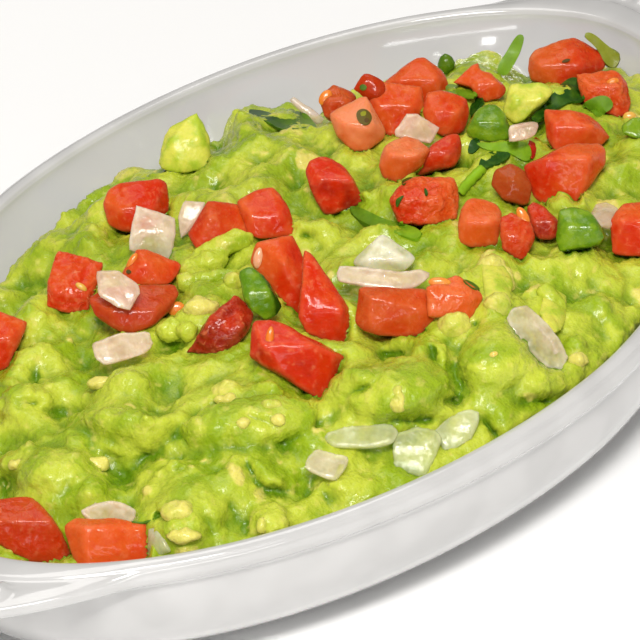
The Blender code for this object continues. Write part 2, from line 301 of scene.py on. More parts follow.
def glazeFinish():
    # painted light and shade: the outside glaze is painted grey for the shade on the outer wall, and the
    # inside glaze blue-grey to cancel the green light bounced up from the guacamole
    glaze = {"base": colour(200, 199, 198), "thick": colour(192, 191, 190), "inside": colour(204, 202, 209),
             "waveSize": 9 * mm}
    made, board, shader = newFinish("whiteGlaze", {"Roughness": 0.1, "IOR": 1.5, "Coat Weight": 0.7,
                                                   "Coat Roughness": 0.04})
    spot = board.objectPlace()
    waves = board.grain(spot, glaze["waveSize"], detail=1.0)
    pits = board.grain(spot, 0.8 * mm, detail=2.0)
    base = board.mixColour(board.smoothStep(waves, 0.35, 0.65), glaze["base"], glaze["thick"])
    paint(board, shader, {
        # the inside mask swaps in the blue-grey glaze: a painted counter-tint against the bounced green light
        "Base Color": board.mixColour(board.attribute("inside"), base, glaze["inside"]),
        "Roughness": 0.08 + board.smoothStep(pits, 0.3, 0.8) * 0.06,
        "Normal": board.bump(waves, 0.12, 0.25 * mm, board.bump(pits, 0.03, 0.05 * mm)),
    })
    return made


def mashFinish():
    mash = {
        # deep: the darker green painted into the hollows as shade
        "deep": colour(96, 132, 12), "leaf": colour(148, 172, 30), "lit": colour(190, 200, 62),
        "cream": colour(222, 208, 108), "patchSize": 9 * mm, "flecksSize": 2.2 * mm,
    }
    made, board, shader = softFinish("mashedAvocado", {
        "Roughness": 0.4, "IOR": 1.4, "Specular IOR Level": 0.35, "Coat Weight": 0.22, "Coat Roughness": 0.12,
    }, 0.3, (1.8, 2.0, 0.5))
    spot = board.objectPlace()
    patches = board.grain(spot, mash["patchSize"], detail=3.0, distortion=0.6)
    flecks = board.grain(spot, mash["flecksSize"], detail=3.0)
    fine = board.grain(spot, 0.7 * mm, detail=3.0)
    height = board.attribute("rise")
    tone = board.attribute("tone")
    base = board.mixColour(board.smoothStep(patches, 0.36, 0.62), mash["leaf"], mash["lit"])
    # painted shade: where the surface sinks below its surroundings (low rise) it is painted deep green
    base = board.mixColour(board.smoothStep(height + (flecks - 0.5) * 0.3, 0.55, 0.1), base, mash["deep"])
    creamy = board.smoothStep(tone + (flecks - 0.5) * 0.5, 0.62, 0.95)
    base = board.mixColour(creamy * 0.85, base, mash["cream"])
    pale = board.smoothStep(flecks, 0.55, 0.75) * 0.45
    base = board.mixColour(pale, base, mash["cream"])
    paint(board, shader, {
        "Base Color": base,
        "Roughness": 0.14 + board.smoothStep(fine, 0.3, 0.7) * 0.34,
        "Normal": board.bump(fine, 0.8, 0.3 * mm, board.bump(flecks, 0.6, 0.7 * mm)),
    })
    return made


def tomatoFinish():
    flesh = {
        "deep": colour(138, 16, 6), "red": colour(202, 44, 9), "orange": colour(212, 88, 28),
        "pale": colour(228, 134, 86), "brown": colour(136, 62, 16), "fibreSize": 1.2 * mm,
    }
    made, board, shader = softFinish("tomatoFlesh", {
        "Roughness": 0.3, "IOR": 1.38, "Specular IOR Level": 0.14, "Coat Weight": 0.22,
        "Coat Roughness": 0.06,
    }, 0.45, (2.2, 0.7, 0.3))
    spot = board.objectPlace()
    cloud = board.grain(spot, 3.2 * mm, detail=2.0)
    cells = board.grain(spot, flesh["fibreSize"], detail=3.0)
    pulpGrain = board.grain(spot, 1.6 * mm, detail=2.0, distortion=1.2)
    ripeness = board.attribute("ripeness")
    skin = board.attribute("skin")
    pulp = board.attribute("pulp")
    # the ripeness mask carries painted light too: faces turned up and the faded side are painted paler
    share = ripeness + (cloud - 0.5) * 0.6
    base = board.mixColour(board.smoothStep(share, -0.12, 0.25), flesh["deep"], flesh["red"])
    base = board.mixColour(board.smoothStep(share, 0.25, 0.7), base, flesh["orange"])
    base = board.mixColour(board.smoothStep(share, 0.7, 1.1), base, flesh["pale"])
    base = board.mixColour(board.smoothStep(cells, 0.55, 0.75) * (1 - skin) * 0.35, base, flesh["pale"])
    seedy = board.smoothStep(pulpGrain, 0.62, 0.72) * pulp * 0.5
    base = board.mixColour(seedy, base, flesh["pale"])
    # painted highlight: the cut edges are painted paler
    base = board.mixColour(board.attribute("rim") * 0.14, base, flesh["pale"])
    # darkens a piece towards brown: partly the flesh's own browner colour, partly painted shade
    base = board.mixColour(board.attribute("dull"), base, flesh["brown"])
    fine = board.grain(spot, 0.5 * mm, detail=2.0)
    relief = board.bump(cells, 0.3, 0.35 * mm, board.bump(fine, 0.15, 0.15 * mm))
    paint(board, shader, {
        "Base Color": base,
        "Roughness": 0.16 + board.smoothStep(cells, 0.3, 0.8) * (1 - skin) * 0.34,
        "Normal": board.bump(pulpGrain * (pulp + 0.1), 0.6, 0.8 * mm, relief),
    })
    return made


def onionFinish():
    # green: the guacamole's light coming up through the onion, painted in
    layer = {"pale": colour(246, 238, 212), "pink": colour(236, 198, 172), "green": colour(206, 212, 146),
             "stained": colour(214, 168, 124)}
    made, board, shader = softFinish("onionLayer", {
        "Roughness": 0.25, "IOR": 1.4, "Coat Weight": 0.6, "Coat Roughness": 0.05,
    }, 0.5, (3.0, 2.4, 1.4))
    veins = board.grain(board.objectPlace(stretch=(1, 1, 0.2), turn=(0.4, 0.3, 0.9)), 0.9 * mm, detail=3.0)
    cloud = board.grain(board.objectPlace(), 3 * mm)
    blush = board.attribute("blush")
    green = board.attribute("greenish")
    base = board.mixColour(board.clamped(blush * 0.8 + (cloud - 0.5) * 1.4), layer["pale"], layer["pink"])
    base = board.mixColour(board.smoothStep(veins, 0.5, 0.7) * blush * 0.4, base, layer["stained"])
    # painted light: the green of the guacamole seen through the onion is painted in
    base = board.mixColour(green * 0.9, base, layer["green"])
    paint(board, shader, {
        "Base Color": base,
        "Roughness": 0.16 + board.smoothStep(veins, 0.3, 0.7) * 0.24,
        "Alpha": board.clamped(0.5 - (cloud - 0.5) * 0.9 - green * 0.1 + board.attribute("rim") * 0.2),
        "Normal": board.bump(veins, 0.3, 0.4 * mm, board.bump(cloud, 0.4, 0.8 * mm)),
    })
    return made


def pepperFinish():
    wall = {"skin": colour(34, 74, 8), "flesh": colour(88, 128, 12), "pale": colour(126, 156, 26)}
    made, board, shader = softFinish("greenPepper", {
        "Roughness": 0.3, "IOR": 1.4, "Specular IOR Level": 0.4, "Coat Weight": 0.2, "Coat Roughness": 0.06,
    }, 0.2, (1.0, 1.6, 0.4))
    cloud = board.grain(board.objectPlace(), 2.6 * mm, detail=3.0)
    fine = board.grain(board.objectPlace(), 0.6 * mm, detail=2.0)
    skin = board.attribute("skin")
    base = board.mixColour(board.smoothStep(cloud, 0.35, 0.7), wall["flesh"], wall["pale"])
    base = board.mixColour(skin, base, wall["skin"])
    paint(board, shader, {
        "Base Color": base,
        "Roughness": 0.18 + board.smoothStep(fine, 0.3, 0.8) * 0.15,
        "Normal": board.bump(fine, 0.3, 0.25 * mm, board.bump(cloud, 0.3, 0.6 * mm)),
    })
    return made


def chunkFinish():
    chunk = {"yellow": colour(216, 214, 84), "green": colour(176, 196, 50)}
    made, board, shader = softFinish("avocadoChunk", {
        "Roughness": 0.35, "IOR": 1.42, "Coat Weight": 0.08, "Coat Roughness": 0.15,
    }, 0.35, (2.2, 2.4, 0.6))
    cloud = board.grain(board.objectPlace(), 3 * mm, detail=3.0)
    fine = board.grain(board.objectPlace(), 0.8 * mm, detail=2.0)
    paint(board, shader, {
        "Base Color": board.mixColour(board.smoothStep(cloud, 0.4, 0.65), chunk["yellow"], chunk["green"]),
        "Roughness": 0.26 + board.smoothStep(fine, 0.3, 0.7) * 0.2,
        "Normal": board.bump(fine, 0.4, 0.3 * mm, board.bump(cloud, 0.4, 0.8 * mm)),
    })
    return made


def leafFinish():
    leaf = {"dark": colour(30, 74, 8), "light": colour(136, 178, 26), "olive": colour(150, 142, 26),
            "brown": colour(88, 60, 22)}
    made, board, shader = softFinish("herbLeaf", {
        "Roughness": 0.45, "IOR": 1.4, "Specular IOR Level": 0.3, "Coat Weight": 0.08, "Coat Roughness": 0.15,
    }, 0.2, (0.8, 1.2, 0.2))
    cloud = board.grain(board.objectPlace(), 2.2 * mm, detail=3.0)
    light = board.attribute("lightness")
    share = board.clamped(light + (cloud - 0.5) * 0.6)
    base = board.mixColour(share, leaf["dark"], leaf["light"])
    base = board.mixColour(board.attribute("olive") * 0.8, base, leaf["olive"])
    paint(board, shader, {
        "Base Color": board.mixColour(board.attribute("brown"), base, leaf["brown"]),
        "Roughness": 0.4 + cloud * 0.2,
        "Normal": board.bump(cloud, 0.3, 0.4 * mm),
    })
    return made


def seedFinish():
    seed = {"orange": colour(232, 118, 30), "yellow": colour(226, 196, 92), "pale": colour(240, 168, 124)}
    made, board, shader = softFinish("tomatoSeed", {
        "Roughness": 0.25, "IOR": 1.4, "Coat Weight": 0.4, "Coat Roughness": 0.08,
    }, 0.4, (1.6, 1.0, 0.4))
    tone = board.attribute("tone")
    fine = board.grain(board.objectPlace(), 0.8 * mm)
    base = board.mixColour(board.smoothStep(tone, 0.0, 0.5), seed["orange"], seed["yellow"])
    base = board.mixColour(board.smoothStep(tone, 0.55, 1.0), base, seed["pale"])
    paint(board, shader, {"Base Color": base, "Normal": board.bump(fine, 0.2, 0.2 * mm)})
    return made


finishes = {
    "glaze": glazeFinish(), "mash": mashFinish(), "tomato": tomatoFinish(), "onion": onionFinish(),
    "pepper": pepperFinish(), "chunk": chunkFinish(), "leaf": leafFinish(),
    "seed": seedFinish(),
}
print("finishes made")


dishSizes = {  # millimetres, with powers, counts and shares, and ribFan in degrees
    "halfLength": 90, "halfWidth": 60, "outlinePower": 1.8, "rimWidth": 3.5,
    "earHalfLength": 106.9, "earHalfWidth": 54, "earPower": 1.5, "earBlend": 1.2,
    "wallTop": 24.2, "floor": 4.5, "wallRun": 16, "wallPower": 2.3, "innerPower": 1.25,
    "outerTop": 19.4, "outerOut": 1.9, "outerRun": 17, "footTop": 1.6, "footWidth": 3, "recess": 0.8,
    "ribCount": 5, "ribLength": 7, "ribWidth": 2.6, "ribHeight": 1.1, "ribSpacing": 4, "ribOut": 11.3,
    "ribFan": 9, "ribBow": 0.9, "ribShorter": 0.12, "insideFrom": 1.004, "insideFade": 0.01,
    "stepsRound": 400, "stepsWall": 22, "stepsRim": 7,
}
rimProfile = (  # outwards, height, share of the ear's reach, extra height on the ear
    (0.0, 24.2, 0.00, 0.0), (0.5, 24.8, 0.01, 0.0), (1.6, 25.0, 0.06, 0.0), (2.6, 24.6, 0.22, 0.2),
    (2.9, 24.2, 0.30, 0.1), (3.2, 23.7, 0.62, 0.6), (3.4, 23.0, 0.95, 1.0), (3.45, 22.3, 1.00, 0.9),
    (3.2, 21.5, 0.97, 0.0), (2.6, 20.9, 0.55, -0.6), (2.2, 20.4, 0.1, 0.0), (1.9, 19.8, 0.0, 0.0),
)


def wallPoint(share, top, bottom, out, run, bend="wallPower"):  # the wall's profile, share 0 at its top
    turn = share * math.pi / 2
    power = 2 / dishSizes[bend]
    return out - run + run * math.cos(turn) ** power, top - (top - bottom) * math.sin(turn) ** power


def innerWall(share):
    return wallPoint(share, dishSizes["wallTop"], dishSizes["floor"], 0, dishSizes["wallRun"], "innerPower")


def innerWallOut(height):  # how far the wall has come in at this height
    drop = (dishSizes["wallTop"] - height) / (dishSizes["wallTop"] - dishSizes["floor"])
    power = dishSizes["innerPower"]
    return dishSizes["wallRun"] * ((1 - np.clip(drop, 0, 1) ** power) ** (1 / power) - 1)


def ovalPoint(turn, out):  # on the opening's outline, moved outwards
    power = 2 / dishSizes["outlinePower"]
    cos, sin = np.cos(turn), np.sin(turn)
    x = (dishSizes["halfLength"] + out) * np.sign(cos) * np.abs(cos) ** power
    y = (dishSizes["halfWidth"] + out) * np.sign(sin) * np.abs(sin) ** power
    return x, y


def ovalSpread(x, y, out):  # 0 in the middle, 1 on the outline moved outwards
    power = dishSizes["outlinePower"]
    across = np.abs(x / (dishSizes["halfLength"] + out)) ** power
    return (across + np.abs(y / (dishSizes["halfWidth"] + out)) ** power) ** (1 / power)


def smoothedRows(rows, steps):  # a flowing line through these rows
    rows = [np.array(row, float) for row in rows]
    padded = [rows[0] * 2 - rows[1]] + rows + [rows[-1] * 2 - rows[-2]]
    found = []
    for before, here, after, beyond in zip(padded, padded[1:], padded[2:], padded[3:]):
        for step in range(steps):
            share = step / steps
            found.append(0.5 * (
                2 * here + (after - before) * share
                + (2 * before - 5 * here + 4 * after - beyond) * share ** 2
                + (3 * here - before - 3 * after + beyond) * share ** 3
            ))
    return found


def dishRows():  # outwards, height, ear share, ear lift and shrink of each ring, from floor to underside
    size = dishSizes
    wallSteps = range(size["stepsWall"])
    rows = [(-size["wallRun"], size["floor"], 0, 0, shrink) for shrink in (0, 0.35, 0.7)]
    rows += [(*innerWall(1 - step / size["stepsWall"]), 0, 0, 1) for step in wallSteps]
    rows += [(*row, 1) for row in smoothedRows(rimProfile, size["stepsRim"])]
    for step in wallSteps:
        share = step / size["stepsWall"]
        rows.append((*wallPoint(share, size["outerTop"], size["footTop"], size["outerOut"], size["outerRun"]),
                     0, 0, 1))
    footOut = size["outerOut"] - size["outerRun"]
    footIn = footOut - size["footWidth"]
    rows += [(footOut, size["footTop"], 0, 0, 1), (footOut, 0.5, 0, 0, 1), (footOut - 0.4, 0, 0, 0, 1)]
    rows += [(footIn + 0.3, 0, 0, 0, 1), (footIn, 0.3, 0, 0, 1)]
    rows += [(footIn - 0.3, size["recess"], 0, 0, shrink) for shrink in (1, 0.5, 0)]
    return rows


def dishNet():  # a closed net of rings that carries each point's place on the profile
    rows = dishRows()
    around = dishSizes["stepsRound"]
    turns = np.tile(np.arange(around) * 2 * math.pi / around, len(rows))
    table = np.repeat(np.array(rows, float), around, axis=0)
    radius = table[:, 0] + dishSizes["halfWidth"]
    points = np.stack([np.cos(turns) * radius, np.sin(turns) * radius, table[:, 1]], 1)
    mesh = meshOf("dish", points * mm, ringFaces(len(rows), around))
    for place, label in enumerate(("out", "height", "earShare", "earLift", "shrink")):
        writeMask(mesh, label, table[:, place])
    writeMask(mesh, "turn", turns)
    return mesh


def dishForm():
    inputs = {
        "Half Length": ("Float", dishSizes["halfLength"]), "Half Width": ("Float", dishSizes["halfWidth"]),
        "Outline Power": ("Float", dishSizes["outlinePower"]), "Rim Width": ("Float", dishSizes["rimWidth"]),
        "Ear Half Length": ("Float", dishSizes["earHalfLength"]),
        "Ear Half Width": ("Float", dishSizes["earHalfWidth"]),
        "Rib Height": ("Float", dishSizes["ribHeight"]), "Glaze": ("Material", None),
    }
    board, given = newForm("Dish Form", inputs)

    def field(name):
        settings = {"data_type": "FLOAT"}
        return board.add("GeometryNodeInputNamedAttribute", settings, {"Name": name})

    power = 2 / given["Outline Power"]
    turn = field("turn")
    swing = {"x": board.maths("COSINE", turn), "y": board.maths("SINE", turn)}
    sign = {axis: board.maths("SIGN", value) for axis, value in swing.items()}
    reachOut = {axis: board.maths("ABSOLUTE", value) ** power for axis, value in swing.items()}
    # the ear is measured from the rim's own outline
    rimX = (given["Half Length"] + given["Rim Width"]) * reachOut["x"]
    rimY = (given["Half Width"] + given["Rim Width"]) * reachOut["y"]
    across = board.clamped(rimY / given["Ear Half Width"])
    earPower = dishSizes["earPower"]
    tip = given["Ear Half Length"] * (1 - across ** earPower) ** (1 / earPower)
    past = tip - rimX
    blend = dishSizes["earBlend"]
    reach = (past + board.maths("SQRT", past * past + blend * blend)) * 0.5
    longest = given["Ear Half Length"] - given["Half Length"] - given["Rim Width"]
    x = (given["Half Length"] + field("out")) * reachOut["x"] + field("earShare") * reach
    y = (given["Half Width"] + field("out")) * reachOut["y"] * sign["y"]
    ribs = ribRelief(board, given, x, y)
    onTop = board.smoothStep(field("earShare"), 0.12, 0.3) * board.smoothStep(field("height"), 22.2, 22.9)
    z = field("height") + field("earLift") * board.clamped(reach / longest) + ribs * onTop
    shrink = field("shrink")
    spot = board.add("ShaderNodeCombineXYZ", None, {"X": x * sign["x"] * shrink * mm, "Y": y * shrink * mm,
                                                    "Z": z * mm})
    net = board.add("GeometryNodeSetPosition", None, {"Geometry": given["Geometry"], "Position": spot})
    net = board.add("GeometryNodeMergeByDistance", None, {"Geometry": net, "Distance": 0.002 * mm})
    net = board.add("GeometryNodeSetShadeSmooth", None, {"Geometry": net})
    return endForm(board, net, given["Glaze"])


def ribRelief(board, given, x, y):  # the fan of raised ribs on each ear
    size = dishSizes
    relief = None
    for place in range(size["ribCount"]):
        off = place - (size["ribCount"] - 1) / 2
        fan = off * math.radians(size["ribFan"])
        along = x - (size["halfLength"] + size["ribOut"] - size["ribBow"] * off ** 2)
        aside = y - off * size["ribSpacing"]
        halfLong = size["ribLength"] / 2 * (1 - size["ribShorter"] * abs(off))
        long = (along * math.cos(fan) + aside * math.sin(fan)) / halfLong
        wide = (aside * math.cos(fan) - along * math.sin(fan)) / (size["ribWidth"] / 2)
        room = board.clamped(1 - long * long - wide * wide)
        rib = board.maths("SQRT", room) * given["Rib Height"]
        relief = rib if relief is None else board.maths("MAXIMUM", relief, rib)
    return relief


def makeDish():
    piece = newPiece("servingDish", dishNet())
    growForm(piece, dishForm(), {"Glaze": finishes["glaze"]})
    faceOutwards(piece.data)
    points = pointsOf(piece.data)
    normals = normalsOf(piece.data)
    spread = ovalSpread(points[:, 0] / mm, points[:, 1] / mm, 0)
    # marks the inside of the dish, where the glaze finish paints a blue-grey counter-tint against the green
    # light bounced from the guacamole
    within = np.clip((dishSizes["insideFrom"] - spread) / dishSizes["insideFade"], 0, 1)
    inwards = -(normals[:, :2] * points[:, :2]).sum(1) > 0
    writeMask(piece.data, "inside", within * (inwards | (normals[:, 2] > 0.5)))
    hideSeams(piece)
    finishPiece(piece, "porcelain", "dish")
    print("dish made,", len(piece.data.polygons), "faces")


makeDish()


def edgesOf(mesh):
    flat = np.empty(len(mesh.edges) * 2, np.int32)
    mesh.edges.foreach_get("vertices", flat)
    return flat.reshape(-1, 2)


def relaxed(values, edges, rounds, share=0.5):  # each point drawn towards the mean of its neighbours
    values = values.copy()
    count = len(values)
    ends, starts = np.concatenate([edges[:, 0], edges[:, 1]]), np.concatenate([edges[:, 1], edges[:, 0]])
    met = np.maximum(np.bincount(ends, minlength=count), 1)
    columns = values.reshape(count, -1)
    for _ in range(rounds):
        mean = np.stack([np.bincount(ends, column[starts], count) / met for column in columns.T], 1)
        columns = columns + (mean - columns) * share
    return columns.reshape(values.shape)


def voxelled(piece, cell):
    change = piece.modifiers.new("even", "REMESH")
    change.mode = "VOXEL"
    change.voxel_size = cell * mm
    change.use_smooth_shade = True
    settle(piece)


# Chopped toppings. Each shape is the smallest skin round its corners: millimetres from the middle of its
# solid, to the right, up and outwards as seen by a diner who looks down over the dish's near side.
seenRight = np.array((0.563, -0.819, -0.105))
seenUp = np.array((0.499, 0.236, 0.834))
seenOut = np.array((-0.659, -0.522, 0.542))
viewSettings = {
    "place": (-0.84086, -0.66899, 0.70772), "tilt": (56.984, 6.050, -55.484), "lens": 427.7,
    "floorSize": 6.0,
}
shownTop = 39.8  # millimetres: nothing draped is laid higher
mashMiddle = np.array(sum(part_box("guacamole"), Vector()) / 2)
directions = {
    "front": Vector(seenOut), "right": Vector(seenRight), "left": -Vector(seenRight), "top": upwards,
    "rightFront": Vector(seenRight + seenOut), "leftFront": Vector(seenOut - seenRight), "down": -upwards,
}
toppingCut = {  # millimetres, with counts and shares
    "cell": 0.36, "rounding": 7, "swell": 0.25, "swellSize": 4.0, "fine": 0.06, "fineSize": 1.1,
    "backScale": 0.78, "backDrop": 0.12, "peakLeast": 0.75, "peakRival": 0.85, "peakReach": 0.55,
    "peakLow": 0.62,
    "edgeRounds": 10, "edgeHeight": 0.05, "wetTop": 0.35, "pulpFine": 0.16, "litFrom": 0.55, "litPaler": 0.12,
}
lumpsOf = {"onion": (0.12, 0.03), "pepper": (0.12, 0.1), "avocado": (0.35, 0.1)}  # broad, fine: millimetres
